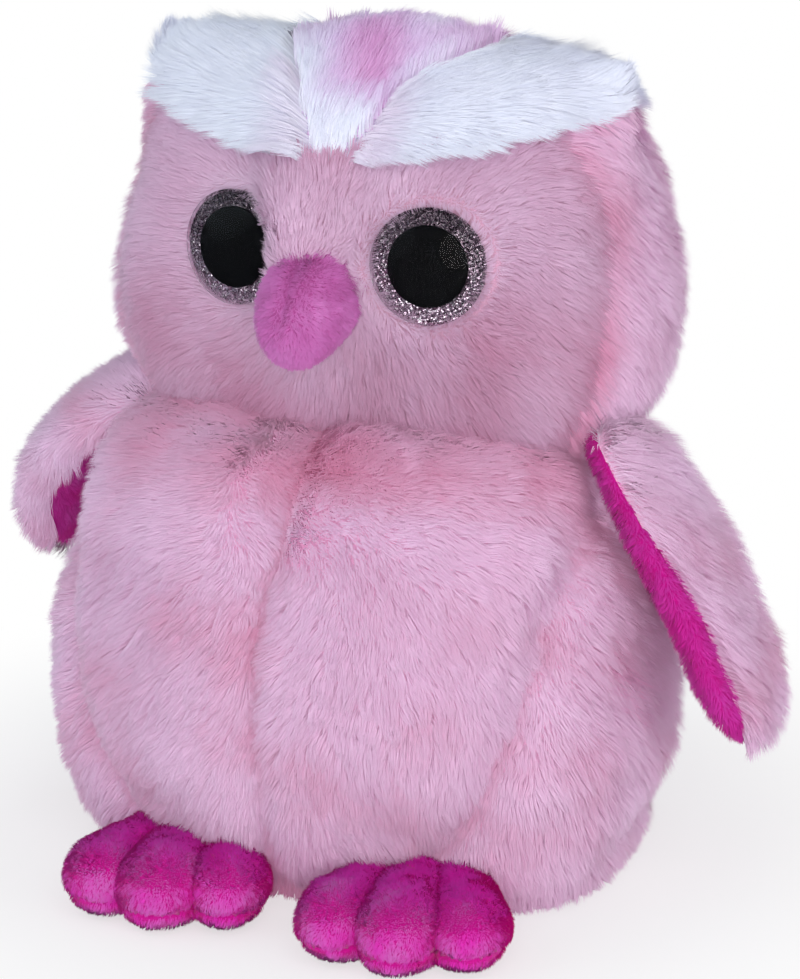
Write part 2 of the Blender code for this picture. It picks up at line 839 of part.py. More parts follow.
def plain_head(inset):
    return ball("plain_head", head_form().inset(inset), BIG_SEGMENTS, BIG_RINGS)


def make_beak(pink, fibre):
    cover = cut(beak_shape(0.0), beak_shape(SHORT_PLUSH_WALL), plain_head(-SEAM_GAP))
    finish(cover, "beak_cover", pink)
    filling = beak_shape(SHORT_PLUSH_WALL + FILL_GAP)
    finish(cut(filling, plain_head(-SEAM_GAP)), "beak_filling", fibre)


# Wings

def wing_hinge(side):
    """The shoulder seam's frame: local -Z runs down the wing, local Y along the seam."""
    z = WING_HEIGHT_SHARE * BODY_HEIGHT
    spot = Vector((side * (body_form().side_x(z) + WING_STANDOFF), -WING_FORWARD, z))
    rest = WING_REST_LEFT if side > 0 else WING_REST_RIGHT
    sweep = WING_SWEEP_LEFT if side > 0 else WING_SWEEP_RIGHT
    turn = Matrix.Rotation(math.radians(side * sweep), 4, "Z")
    hang = Matrix.Rotation(math.radians(-side * rest), 4, "Y")
    return Matrix.Translation(spot) @ turn @ hang


def wing_place(side):
    """The wing's own frame: local Z runs to its tip and local -Y faces away from the owl."""
    twist = WING_TWIST_LEFT if side > 0 else WING_TWIST_RIGHT
    turn = Matrix.Rotation(math.radians(side * (90 + twist)), 4, "Z")
    point = Matrix.Rotation(math.radians(180), 4, "X")
    return wing_hinge(side) @ turn @ point @ Matrix.Rotation(math.radians(180), 4, "Z")


def wing_shape(side, inset, segments=LIMB_SEGMENTS):
    flap = Form(
        WING_LENGTH,
        WING_HALF_CHORD,
        WING_HALF_THICKNESS,
        WING_HALF_THICKNESS,
        WING_PROFILE_SHARES,
        WING_SQUARENESS,
        bow=WING_BOW_LEFT if side > 0 else WING_BOW_RIGHT,
    ).inset(inset)
    return ball("wing_shape", flap, segments, LIMB_RINGS, wing_place(side))


def wing_half(side, outer):
    """The outer or inner half of a wing's space, half a seam gap from its bowed middle."""
    up = np.linspace(-CUT_OVERRUN / WING_LENGTH, 1 + CUT_OVERRUN / WING_LENGTH, OUTLINE_STEPS)
    gap = -SEAM_GAP / 2 if outer else SEAM_GAP / 2
    bow = WING_BOW_LEFT if side > 0 else WING_BOW_RIGHT
    line = np.stack([gap - 4 * bow * up * (1.0 - up), up * WING_LENGTH], axis=1)
    reach = -WING_LENGTH if outer else WING_LENGTH
    back = [(reach, line[-1][1]), (reach, line[0][1])]
    outline = np.vstack([line, back])[::-1 if outer else 1]
    side_on = Matrix.Rotation(math.radians(90), 4, "Z")
    tool = prism(outline, -WING_LENGTH, WING_LENGTH)
    tool.data.transform(wing_place(side) @ side_on)
    return tool


def make_wings(pink, magenta, fibre):
    for side, word in ((1, "left"), (-1, "right")):
        hinge = wing_hinge(side)
        holder = holder_at(f"wing_{word}_hinge", hinge)
        spot = hinge.translation
        for outer, part, cloth in ((True, "outer", pink), (False, "lining", magenta)):
            cover = cut(wing_shape(side, 0.0), wing_shape(side, SHORT_PLUSH_WALL))
            cut(keep(cover, wing_half(side, outer)), body_shape(-SEAM_GAP), plain_head(-SEAM_GAP))
            finish(cover, f"wing_{word}_{part}", cloth, origin=spot, holder=holder)
        filling = wing_shape(side, SHORT_PLUSH_WALL + FILL_GAP)
        cut(filling, body_shape(-SEAM_GAP), plain_head(-SEAM_GAP))
        finish(filling, f"wing_{word}_filling", fibre, origin=spot, holder=holder)


# Feet

def foot_shape(side, inset):
    """Three toes fanned from one heel and joined, lying on the floor."""
    turn = FOOT_TURN_LEFT if side > 0 else FOOT_TURN_RIGHT
    across = FOOT_ACROSS_LEFT if side > 0 else -FOOT_ACROSS_RIGHT
    heel = Vector((across, -FOOT_HEEL_FORWARD, TOE_HALF_HEIGHT - TOE_BELOW_FLOOR))
    toes = []
    for lean, scale in ((0, MIDDLE_TOE_SCALE), (-1, 1.0), (1, 1.0)):
        high = TOE_HALF_HEIGHT * scale
        toe = Form(TOE_LENGTH * scale, TOE_HALF_WIDTH * scale, high, high, TOE_PROFILE_SHARES)
        aim = Matrix.Rotation(math.radians(turn + lean * TOE_FAN), 4, "Z")
        step = Matrix.Translation((lean * TOE_STAGGER, -abs(lean) * TOE_STAGGER, 0.0))
        lie = Matrix.Rotation(math.radians(90), 4, "X")
        lie @= Matrix.Rotation(math.radians(lean * TOE_ROLL), 4, "Z")
        place = Matrix.Translation(heel) @ aim @ step @ lie
        toes.append(ball("toe_shape", toe.inset(inset), TOE_SEGMENTS, TOE_RINGS, place))
    return cut(join(*toes), level_slab(-CUT_OVERRUN, inset))


def make_feet(magenta, fibre):
    top = 2 * TOE_HALF_HEIGHT + CUT_OVERRUN
    for side, word in ((1, "left"), (-1, "right")):
        for part, low, high in (
            ("upper", SOLE_SEAM_HEIGHT + SEAM_GAP, top),
            ("sole", -CUT_OVERRUN, SOLE_SEAM_HEIGHT),
        ):
            cover = cut(foot_shape(side, 0.0), foot_shape(side, SHORT_PLUSH_WALL))
            cut(cover, body_shape(-SEAM_GAP))
            finish(keep(cover, level_slab(low, high)), f"foot_{word}_{part}", magenta)
        filling = foot_shape(side, SHORT_PLUSH_WALL + FILL_GAP)
        finish(cut(filling, body_shape(-SEAM_GAP)), f"foot_{word}_filling", fibre)


def main():
    pink = surface("pale_plush", PALE_PINK, 0.95)
    fibre = surface("polyester_fibre", FIBRE_WHITE, 1.0)
    magenta = surface("magenta_plush", MAGENTA, 0.9)
    make_body(pink, fibre, surface("pouch_cloth", POUCH_GREY, 0.9))
    make_head(
        pink,
        surface("face_plush", FACE_PINK, 0.95),
        surface("crown_plush", CROWN_PINK, 0.95),
        surface("white_plush", BROW_WHITE, 0.9),
        fibre,
    )
    make_eyes(
        surface("clear_plastic", CLEAR, 0.05, 1.0),
        surface("black_plastic", EYE_BLACK, 0.08),
        surface("glitter_film", GLITTER, 0.3),
        surface("cup_plastic", EYE_BLACK, 0.4),
        surface("washer_plastic", FIBRE_WHITE, 0.5),
    )
    make_beak(surface("beak_plush", BEAK_PINK, 0.9), fibre)
    make_wings(pink, magenta, fibre)
    make_feet(magenta, fibre)


for old in list(bpy.data.objects):
    bpy.data.objects.remove(old)
owl = bpy.data.collections.new("plush_owl")
cutters = bpy.data.collections.new("shaping_tools")
bpy.context.scene.collection.children.link(owl)
bpy.context.scene.collection.children.link(cutters)
main()
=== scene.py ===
# %% [markdown]
# # A stuffed owl in pale plush
#
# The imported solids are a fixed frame: they say how big the owl is, where its seams run and what
# moves. This script dresses them. Each cloth panel becomes a thin sewn cover, a pile of real
# strands grows out of it, and the eyes, beak and feet get their own shapes and finishes.

import json
import math
from dataclasses import dataclass, replace

import bpy
import numpy as np
from mathutils import Matrix, Vector


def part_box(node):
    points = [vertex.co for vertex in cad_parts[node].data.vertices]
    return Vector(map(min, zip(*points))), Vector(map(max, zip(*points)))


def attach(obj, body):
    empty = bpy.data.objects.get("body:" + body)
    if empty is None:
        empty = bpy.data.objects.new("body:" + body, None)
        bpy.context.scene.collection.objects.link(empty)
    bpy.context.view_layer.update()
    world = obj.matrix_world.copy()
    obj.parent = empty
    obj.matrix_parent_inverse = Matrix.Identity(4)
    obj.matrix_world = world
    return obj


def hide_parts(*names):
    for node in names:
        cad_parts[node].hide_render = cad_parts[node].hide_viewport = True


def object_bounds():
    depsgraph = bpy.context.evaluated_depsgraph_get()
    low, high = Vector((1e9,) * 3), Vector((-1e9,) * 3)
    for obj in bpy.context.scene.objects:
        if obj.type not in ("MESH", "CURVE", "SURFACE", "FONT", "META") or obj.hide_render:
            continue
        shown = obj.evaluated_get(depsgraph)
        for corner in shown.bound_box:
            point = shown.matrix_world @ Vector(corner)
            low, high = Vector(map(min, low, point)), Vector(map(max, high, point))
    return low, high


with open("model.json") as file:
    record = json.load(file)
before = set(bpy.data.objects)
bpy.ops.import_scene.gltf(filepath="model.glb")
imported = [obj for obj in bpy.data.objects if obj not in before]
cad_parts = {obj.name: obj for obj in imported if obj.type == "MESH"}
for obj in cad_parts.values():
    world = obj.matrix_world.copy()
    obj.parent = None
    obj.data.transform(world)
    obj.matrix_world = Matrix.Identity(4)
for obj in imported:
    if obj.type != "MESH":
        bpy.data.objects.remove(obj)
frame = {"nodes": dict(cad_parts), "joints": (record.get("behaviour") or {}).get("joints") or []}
cad_low, cad_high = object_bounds()
MM = 0.001
SIDES = {"left": 1, "right": -1}
size = [round(v / MM) for v in cad_high - cad_low]
print("frame:", len(frame["nodes"]), "nodes, size in mm", size)

# %% [markdown]
# ## The camera
#
# The photograph was taken from a little above, with the owl turned so that its left wing comes
# forward. The camera is placed on a direction seen from the owl's middle, far enough away for the
# long lens that keeps the near foot from looking large.

# %% Place the camera
VIEW_AZIMUTH = 25.0
VIEW_ELEVATION = 17.2
VIEW_DISTANCE = 930 * MM
VIEW_TARGET = Vector((-0.6, 10.0, 93.0)) * MM
LENS_MM = 151.65
NEAREST_SEEN = 10 * MM

camera_data = bpy.data.cameras.new("camera")
camera_data.sensor_fit = "HORIZONTAL"
camera_data.lens = LENS_MM
camera_data.clip_start = NEAREST_SEEN
camera = bpy.data.objects.new("camera", camera_data)
bpy.context.scene.collection.objects.link(camera)
across, up = math.radians(VIEW_AZIMUTH), math.radians(VIEW_ELEVATION)
back = Vector((math.sin(across) * math.cos(up), -math.cos(across) * math.cos(up), math.sin(up)))
camera.location = VIEW_TARGET + back * VIEW_DISTANCE
camera.rotation_mode = "QUATERNION"
camera.rotation_quaternion = (-back).to_track_quat("-Z", "Y")
bpy.context.scene.camera = camera
print("camera at", [round(v, 3) for v in camera.location])

# %% [markdown]
# ## Stuffed forms
#
# A stuffed toy's parts are all rounded lumps, so one recipe makes them all: rings stacked along a
# profile, each ring a rounded oval with its own depth in front and behind, and a bow that pushes
# the middle rings forward. The solids were made by the same recipe, so the covers fit them.


# %% Define a stuffed form
def smooth_line(points, steps=12):
    """A Catmull-Rom curve: between two points a cubic runs, whose slope at each of them is half
    the way from its neighbour before to its neighbour after."""
    p = np.array(points, float)
    p = np.vstack([2 * p[0] - p[1], p, 2 * p[-1] - p[-2]])
    a, b, c, d = p[:-3, None], p[1:-2, None], p[2:-1, None], p[3:, None]
    t = np.linspace(0.0, 1.0, steps, endpoint=False)[None, :, None]
    bend = (2 * a - 5 * b + 4 * c - d) * t**2 + (3 * b - a - 3 * c + d) * t**3
    line = (2 * b + (c - a) * t + bend) / 2
    return np.vstack([line.reshape(-1, p.shape[1]), p[-2]])


@dataclass(frozen=True)
class Form:
    """A stuffed shape, from its base up: lengths in metres, and the profile as shares of the
    height and the width. The bow pushes the middle rings forward."""

    height: float
    half_width: float
    front: float
    back: float
    shares: tuple
    squareness: float = 2.0
    base: tuple = (0.0, 0.0, 0.0)
    bow: float = 0.0

    def drawn_in(self, by, below=None):
        """The same shape, smaller by a depth on every side, or by another depth below."""
        below = by if below is None else below
        x, y, z = self.base
        return replace(
            self,
            height=self.height - by - below,
            half_width=self.half_width - by,
            front=self.front - by,
            back=self.back - by,
            base=(x, y, z + below),
        )

    def profile(self):
        """Up and ring shares along the profile, and the share of its length run so far."""
        line = smooth_line(self.shares)
        steps = np.hypot(*(np.diff(line, axis=0) * (self.height, self.half_width)).T)
        run = np.concatenate([[0.0], np.cumsum(steps)])
        return line[:, 0], line[:, 1].clip(0), run / run[-1]

    def points(self, turn, run):
        """A ring's point is at (half width cos t, depth sin t) times the ring's share, divided by
        (|cos t|^n + |sin t|^n)^(1/n). The bow takes 4 bow u (1 - u) off y at height share u."""
        ups, rings, runs = self.profile()
        up, ring = np.interp(run, runs, ups), np.interp(run, runs, rings)
        c, s, n = np.cos(turn), np.sin(turn), self.squareness
        ring = ring / (np.abs(c) ** n + np.abs(s) ** n) ** (1 / n)
        x = self.half_width * ring * c
        y = np.where(s < 0, self.front, self.back) * ring * s - 4 * self.bow * up * (1 - up)
        return np.stack([x, y, self.height * up + 0 * turn], -1) + self.base

    def share_out(self, points):
        """How far out each point is: 1 on the surface at its height, more outside."""
        x, y, z = (points - self.base).T
        up = z / self.height
        ups, rings, _ = self.profile()
        ring = np.interp(up, np.maximum.accumulate(ups), rings, left=1e-6, right=1e-6)
        y = y + 4 * self.bow * up * (1 - up)
        n = self.squareness
        depth = np.where(y < 0, self.front, self.back)
        out = (np.abs(x / self.half_width) ** n + np.abs(y / depth) ** n) ** (1 / n)
        return out / np.maximum(ring, 1e-6)

    def front_point(self, x, z):
        """The point of the front surface at one x and z."""
        up = (z - self.base[2]) / self.height
        ups, rings, _ = self.profile()
        ring = np.interp(up, np.maximum.accumulate(ups), rings)
        across = abs(x - self.base[0]) / (self.half_width * ring)
        depth = (1 - across**self.squareness) ** (1 / self.squareness)
        middle = self.base[1] - 4 * self.bow * up * (1 - up)
        return Vector((x, middle - self.front * ring * depth, z))


def closed_grid(rings, columns):
    """Faces of a closed surface: rings of four-sided faces, and a fan of triangles at each pole.
    A triangle's fourth corner is -1."""
    row = np.arange(columns)
    after = (row + 1) % columns
    low = np.arange(rings - 2)[:, None] * columns
    sides = np.stack([low + row, low + after, low + after + columns, low + row + columns], -1)
    count = (rings - 1) * columns
    none = np.full(columns, -1)
    bottom = np.stack([after, row, np.full(columns, count), none], -1)
    last = count - columns
    top = np.stack([last + row, last + after, np.full(columns, count + 1), none], -1)
    return np.vstack([sides.reshape(-1, 4), bottom, top])


def skin_of(form, rings, columns):
    """Points and faces of a form's whole surface, with a point at each pole."""
    run = np.linspace(0.0, 1.0, rings + 1)[1:-1, None]
    turn = 2 * math.pi * (np.arange(columns)[None, :] + 0.5) / columns
    poles = form.points(np.zeros(2), np.array([0.0, 1.0]))
    poles[:, :2] = form.base[:2]
    return np.vstack([form.points(turn, run).reshape(-1, 3), poles]), closed_grid(rings, columns)


def normals_of(points, faces):
    """Unit normals at the points: the sum of the normals of the faces that meet there, each as
    long as its face is large."""
    a, b, c = (points[faces[:, k]] for k in range(3))
    d = points[np.where(faces[:, 3] < 0, faces[:, 0], faces[:, 3])]
    across = np.cross(c - a, d - b)
    total = np.zeros_like(points)
    for k in range(4):
        held = faces[:, k] >= 0
        for axis in range(3):
            total[:, axis] += np.bincount(
                faces[held, k], across[held, axis], minlength=len(points)
            )
    return unit(total)


def unit(vectors):
    """The vectors over their lengths."""
    return vectors / np.maximum(np.linalg.norm(vectors, axis=-1, keepdims=True), 1e-12)


def eased(x, low, high):
    """0 up to low, 1 from high, and a smooth step between."""
    t = ((x - low) / (high - low)).clip(0.0, 1.0)
    return t * t * (3 - 2 * t)


def placed(points, place):
    """Points carried by a 4 by 4 matrix."""
    m = np.array(place)
    return points @ m[:3, :3].T + m[:3, 3]


# %% [markdown]
# ## Meshes and pieces
#
# Numpy arrays go into a mesh in one call each. A piece then gets its finish, rides on the body of
# the frame that carries it, and hides the solids that it stands for.


# %% Define how a piece is made
def mesh_of(name, points, faces):
    """A mesh with these points and faces."""
    held = faces >= 0
    mesh = bpy.data.meshes.new(name)
    mesh.vertices.add(len(points))
    mesh.vertices.foreach_set("co", np.asarray(points, np.float32).ravel())
    mesh.loops.add(int(held.sum()))
    mesh.loops.foreach_set("vertex_index", faces[held].astype(np.int32))
    mesh.polygons.add(len(faces))
    starts = np.concatenate([[0], np.cumsum(held.sum(1))[:-1]])
    mesh.polygons.foreach_set("loop_start", starts.astype(np.int32))
    mesh.update(calc_edges=True)
    mesh.validate()
    return mesh


def piece(name, mesh, material, body="owl", slot=None, replaces=()):
    """An object that shows the mesh, rides on a body and stands for CAD nodes."""
    mesh.name = name
    obj = bpy.data.objects.new(name, mesh)
    bpy.context.scene.collection.objects.link(obj)
    mesh.materials.append(material)
    mesh.shade_smooth()
    if replaces:
        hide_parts(*replaces)
    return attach(obj, body)


def part_of(points, faces, chosen):
    """The points and faces of the chosen faces alone."""
    some = faces[chosen]
    held = some >= 0
    used, again = np.unique(some[held], return_inverse=True)
    out = np.full(some.shape, -1)
    out[held] = again.ravel()
    return points[used], out, used


def middles(points, faces):
    """The middle of each face, from its first and third corners."""
    return (points[faces[:, 0]] + points[faces[:, 2]]) / 2


# %% [markdown]
# ## Smooth random fields
#
# Nothing on a toy is even: clumps, tints and lumps drift from place to place. Two fields give all
# of that. One is a sum of sine waves in random directions, which is smooth. The other cuts space
# into cells with one random point in each, which gives clumps, as wet fingers would gather pile.


# %% Define the random fields
def drift(points, size, seed, waves=7):
    """A smooth number, mostly within 1 of zero: a sum of sines of about that wavelength."""
    rng = np.random.default_rng(seed)
    ways = unit(rng.normal(size=(waves, 3))) * (2 * math.pi / size)
    ways *= rng.uniform(0.7, 1.4, (waves, 1))
    return np.sin(points @ ways.T + rng.uniform(0, 2 * math.pi, waves)).sum(1) / math.sqrt(waves)


def scattered(cells, seed):
    """A repeatable random number from 0 to 1 for each whole-number cell, by mixing its bits."""
    h = cells[:, 0] * 73856093 ^ cells[:, 1] * 19349663 ^ cells[:, 2] * 83492791
    h = ((h ^ seed * 668265263) & 0xFFFFFFFF) * 1274126177 & 0xFFFFFFFF
    h = ((h ^ h >> 15) * 739982445) & 0xFFFFFFFF
    return (h ^ h >> 16) / 2.0**32


def clumps(points, size, seed):
    """The nearest clump middle to each point, and that clump's cell. Each cell of that size holds
    one middle at a random place, so only the 27 cells round a point are tried."""
    home = np.floor(points / size).astype(np.int64)
    least = np.full(len(points), np.inf)
    middle, cell = np.zeros_like(points), home.copy()
    for step in np.ndindex(3, 3, 3):
        near = home + np.array(step) - 1
        spot = (near + np.stack([scattered(near, seed + k) for k in range(3)], 1)) * size
        far = ((points - spot) ** 2).sum(1)
        closer = far < least
        least[closer], middle[closer], cell[closer] = far[closer], spot[closer], near[closer]
    return middle, cell


# %% [markdown]
# ## How a pile stands
#
# Plush is thousands of short fibres knitted into a backing. They lie over along the nap, gather
# into small wedges, and catch the light at their tips while their roots stay deep in colour. Hair
# curves could show them, but they don't leave Blender as a mesh, so each strand here is a narrow
# blade that bends once, three faces in all. A few numbers say how one cloth's pile stands.


# %% Define what a pile is told
@dataclass(frozen=True)
class Pile:
    """Lengths in metres, angles in degrees, strands on a square metre. Tips move towards their
    clump's middle by the share gather, clumps turn the nap by up to about swirl, and uneven and
    mottle vary length and tone. Where the cloth faces up, its pile lies over further by the share
    settle, but not past the flattest angle."""

    length: float
    lean: float
    width: float = 0.26 * MM
    density: float = 5.2e6
    clump: float = 2.8 * MM
    gather: float = 0.34
    swirl: float = 16.0
    uneven: float = 0.10
    mottle: float = 0.5
    settle: float = 0.35
    flattest: float = 66.0


# %% [markdown]
# ## Where the fibres stand
#
# Fibres are knitted in evenly, so roots have to be spread by area: a large face gets more of them
# than a small one. Picking faces at even steps along their summed areas leaves no bare spots, as
# picking wholly at random would.


# %% Spread roots over a skin
def random_spots(points, faces, normals, count, rng):
    """Places spread evenly over a surface, and its normals there. Faces are picked along their
    summed areas at even steps, and a place in a triangle comes from two random shares."""
    tris = np.vstack([faces[:, :3], faces[faces[:, 3] >= 0][:, [0, 2, 3]]])
    order = np.argsort(np.concatenate([np.arange(len(faces)), np.nonzero(faces[:, 3] >= 0)[0]]))
    tris = tris[order]
    a, b, c = (points[tris[:, k]] for k in range(3))
    areas = np.linalg.norm(np.cross(b - a, c - a), axis=1) / 2
    summed = np.cumsum(areas)
    steps = (np.arange(count) + rng.random(count)) / count * summed[-1]
    pick = np.searchsorted(summed, steps).clip(0, len(tris) - 1)
    s, t = np.sqrt(rng.random(count))[:, None], rng.random(count)[:, None]
    shares = (1 - s, s * (1 - t), s * t)
    spots = sum(w * points[tris[pick, k]] for k, w in enumerate(shares))
    return spots, unit(sum(w * normals[tris[pick, k]] for k, w in enumerate(shares)))


def area_of(points, faces):
    """The summed area of the faces: half the cross product of a face's two diagonals."""
    a, b, c = (points[faces[:, k]] for k in range(3))
    d = points[np.where(faces[:, 3] < 0, faces[:, 0], faces[:, 3])]
    return float(np.linalg.norm(np.cross(c - a, d - b), axis=1).sum() / 2)


# %% [markdown]
# ## The run of a strand
#
# On the real cloth no two fibres lie alike, but neighbours agree: they bend together and their
# tips meet in a wedge. So the lean, the turn of the nap and the length get one part from the clump,
# one from a larger clump round it, and a little that is the strand's own.

# %% Bend the strands and gather them
ROOT_LEAN, HALF_LEAN, TIP_LEAN = 0.55, 0.70, 1.3
LOWER_SHARE, UPPER_SHARE = 0.5, 0.55
LARGE_CLUMP = 3.1
ABOVE_FLOOR = 0.3 * MM


def turned_about(vectors, axes, angles):
    """Vectors turned about axes that stand square to them."""
    return vectors * np.cos(angles)[:, None] + np.cross(axes, vectors) * np.sin(angles)[:, None]


def bent(roots, ups, flow, pile, scale, lay, clump, rng):
    """Where strands bend and end. A part of length l goes l (cos a up + sin a nap) on, with a
    smaller angle a near the root than at the tip. Tips then move towards their clump's mean tip,
    keeping some of their spread, and the bends follow them a little."""
    group, middle, fine, broad, also = clump
    strand = len(roots)
    spin = (fine - 0.5) * 1.6 + (broad - 0.5) * 1.4 + rng.normal(0, 0.35, strand)
    flow = turned_about(flow, ups, math.radians(pile.swirl) * spin)
    tilt = also[0] * 0.6 + also[1] * 0.4 - 0.5
    lean = pile.lean * lay * (1 + pile.settle * eased(ups[:, 2], 0.15, 0.70))
    lean = np.radians(np.minimum(lean, pile.flattest))
    lean = (lean * (1 + 0.32 * tilt + rng.normal(0, 0.07, strand)))[:, None]
    size = 1 + pile.uneven * ((also[2] - 0.5) * 1.6 + rng.normal(0, 0.5, strand))
    length = (pile.length * scale * size)[:, None]
    towards = lambda angle: np.cos(angle) * ups + np.sin(angle) * flow
    half = roots + LOWER_SHARE * length * towards(ROOT_LEAN * lean)
    tips = half + UPPER_SHARE * length * towards(TIP_LEAN * lean)
    half += 0.06 * length * (np.sin(HALF_LEAN * lean) * flow - 0.3 * ups)
    count = np.bincount(group)[:, None]
    mean = lambda v: np.stack([np.bincount(group, v[:, k]) for k in range(3)], 1) / count
    spread = roots - mean(roots)[group]
    loose = 1 - 0.6 * eased(ups[:, 2], 0.2, 0.7)
    pull = pile.gather * ((0.8 + 0.4 * fine) * loose)[:, None]
    tips += pull * (mean(tips)[group] + 0.30 * spread - tips)
    half += 0.30 * pull * (mean(half)[group] + 0.6 * spread - half)
    for ends in (half, tips):
        ends[:, 2] = np.maximum(ends[:, 2], ABOVE_FLOOR)
    return half, tips


# %% [markdown]
# ## How strands catch the light
#
# A fibre is round, and a clump of fibres is a rounded wedge. A flat blade lit by its own plane
# would sparkle, so it borrows its shading from the cloth, from its own front, and from the bulge
# of its clump. Where the cloth faces up one sees the strands' sides, which look outwards, so there
# the shading turns outwards too. Each face is wound so that its front looks outwards from the owl
# and a little up, because the back of a face would be shaded as if it looked the other way.

# %% Shade the strands and build their mesh
OWL_AXIS = (0, 15 * MM, 0)
BLADE_PLACES = [0.02, 0.02, 0.5, 0.5, 0.5, 0.5, 0.98]
TONE_EDGE = 0.004 * np.array([-1, 1, 1, -1, -1, 1, 0])


def strands(roots, ups, flow, pile, tone, scale, lay, rng, seed):
    """Blades from roots to tips, five points and two faces each. Returns points, faces, shading
    normals and UVs, which say how far along the strand a point is and how light the strand is."""
    middle, cell = clumps(roots, pile.clump, seed)
    group = np.unique(cell, axis=0, return_inverse=True)[1].ravel()
    large = clumps(roots, LARGE_CLUMP * pile.clump, seed + 9)[1]
    fine, broad = scattered(cell, seed + 20), scattered(large, seed + 21)
    also = scattered(cell, seed + 22), scattered(large, seed + 23), scattered(cell, seed + 24)
    clump = group, middle, fine, broad, also
    half, tips = bent(roots, ups, flow, pile, scale, lay, clump, rng)
    aim = unit(tips - roots)
    wide = pile.width / 2 * (0.75 + 0.5 * rng.random((len(roots), 1)))
    side = unit(np.cross(aim, ups)) * wide
    blade = np.stack([roots - side, roots + side, half - 0.9 * side, half + 0.9 * side, tips], 1)

    outward = unit(ups * (1, 1, 0) + 0.35 * unit((roots - OWL_AXIS) * (1, 1, 0)) + (0, 0, 0.3))
    bulge = (roots - middle) - ((roots - middle) * ups).sum(1)[:, None] * ups
    face = unit(ups - (ups * aim).sum(1)[:, None] * aim)
    facing = 0.80 * ups + 0.20 * face + 0.26 * bulge / pile.clump
    facing += 0.8 * eased(ups[:, 2], 0.25, 0.75)[:, None] * outward
    left, right = unit(facing - 0.35 * unit(side)), unit(facing + 0.35 * unit(side))
    shade = np.stack([left, right, left, right, unit(facing)], 1)

    patches = 0.20 * (fine - 0.5) + 0.12 * (broad - 0.5) + rng.normal(0, 0.05, len(roots))
    tone = (tone + pile.mottle * patches).clip(0.03, 0.97)
    first = 5 * np.arange(len(roots))[:, None]
    away = lambda start, end: (np.cross(side, end - start) * outward).sum(1)[:, None] < 0
    quads = first + np.where(away(roots, half), [1, 0, 2, 3], [0, 1, 3, 2])
    ends = np.hstack([first + np.where(away(half, tips), [3, 2, 4], [2, 3, 4]), 0 * first - 1])
    faces = np.stack([quads, ends], 1).reshape(-1, 4)
    v = tone[:, None] + TONE_EDGE
    uvs = np.stack([np.broadcast_to(BLADE_PLACES, v.shape), v], -1)
    return blade.reshape(-1, 3), faces, shade.reshape(-1, 3), uvs.reshape(-1, 2)


# %% [markdown]
# ## Growing a pile
#
# One recipe grows every cloth's pile. The cloth gives its skin, and small functions of the roots
# say where the nap runs, how light the pile is, and where it is trimmed, laid over or left out. The
# finish reads only the two numbers on a strand's UV map, so strands that lie over each other never
# disagree.

# %% Grow a pile over a skin
grown = {}


def grow(
    name, skin, pile, nap, tone, material, body="owl", slot=None,
    scale=None, lay=None, keep=None, seed=1,
):
    """A pile piece over a skin, which is its points, faces and normals. Functions of the roots give
    the nap's direction, the tone, shares of the length and of the lean, and which roots to keep."""
    points, faces, normals = skin
    rng = np.random.default_rng(seed)
    count = int(pile.density * area_of(points, faces))
    roots, ups = random_spots(points, faces, normals, count, rng)
    if keep is not None:
        held = keep(roots)
        roots, ups = roots[held], ups[held]
    way = nap(roots, ups)
    way = unit(way - (way * ups).sum(1)[:, None] * ups)
    even = np.ones(len(roots))
    size, lie = (even if share is None else share(roots) for share in (scale, lay))
    *shape, shade, uvs = strands(roots, ups, way, pile, tone(roots), size, lie, rng, seed)
    mesh = mesh_of(name, *shape)
    mesh.uv_layers.new(name="OFBake").uv.foreach_set("vector", uvs.astype(np.float32).ravel())
    obj = piece(name, mesh, material, body, slot)
    mesh.normals_split_custom_set_from_vertices(shade.astype(np.float32))
    grown[name] = 3 * len(roots)
    print(f"{name}: {len(roots)} strands")
    return obj


# %% [markdown]
# ## Finishes for pile
#
# A fibre is a soft translucent thread, dull except for a faint bloom at grazing light. The finish
# mixes two ramps over the strand's tone, one for roots and one for tips, by the place along it,
# and paints a glow into the strand's lower part for the light that fibres lead down into the pile.


# %% Define how a finish is built
def srgb(*parts):
    """A colour measured as 0 to 255, as the linear numbers that a shader takes."""
    c = np.array(parts, float) / 255
    linear = np.where(c <= 0.04045, c / 12.92, ((c + 0.055) / 1.055) ** 2.4)
    return (*linear.tolist(), 1.0)


def fed(node, **inputs):
    """The node with its inputs set. An underscore in a name stands for a space, and a name such as
    at_1 is an input's number. A value is a constant or another node's output socket."""
    for name, value in inputs.items():
        key = int(name[3:]) if name.startswith("at_") else name.replace("_", " ")
        if isinstance(value, bpy.types.NodeSocket):
            node.id_data.links.new(value, node.inputs[key])
        else:
            node.inputs[key].default_value = value
    return node


def added(tree, kind, settings=(), **inputs):
    """A new node of a finish, with its settings and its inputs."""
    node = tree.nodes.new("ShaderNode" + kind)
    for name, value in dict(settings).items():
        setattr(node, name, value)
    return fed(node, **inputs)


def empty_finish(name, roughness, sheen=0.0, specular=0.5):
    """A material with one Principled shader. Returns it, its node tree and the shader."""
    material = bpy.data.materials.new(name)
    material.use_nodes = True
    shader = material.node_tree.nodes["Principled BSDF"]
    fed(shader, Roughness=roughness, Sheen_Weight=sheen, Specular_IOR_Level=specular)
    return material, material.node_tree, shader


def ramp(tree, stops, share):
    """The colour of a ramp with (place, colour) stops, at a share along it."""
    node = added(tree, "ValToRGB", Fac=share)
    while len(node.color_ramp.elements) < len(stops):
        node.color_ramp.elements.new(0.5)
    for element, (place, colour) in zip(node.color_ramp.elements, stops):
        element.position, element.color = place, colour
    return node.outputs["Color"]


def mixed(tree, share, first, second):
    """Two colours mixed by a share. Each is an output socket or a constant."""
    kind = {"data_type": "RGBA"}
    return added(tree, "Mix", kind, at_0=share, at_6=first, at_7=second).outputs[2]


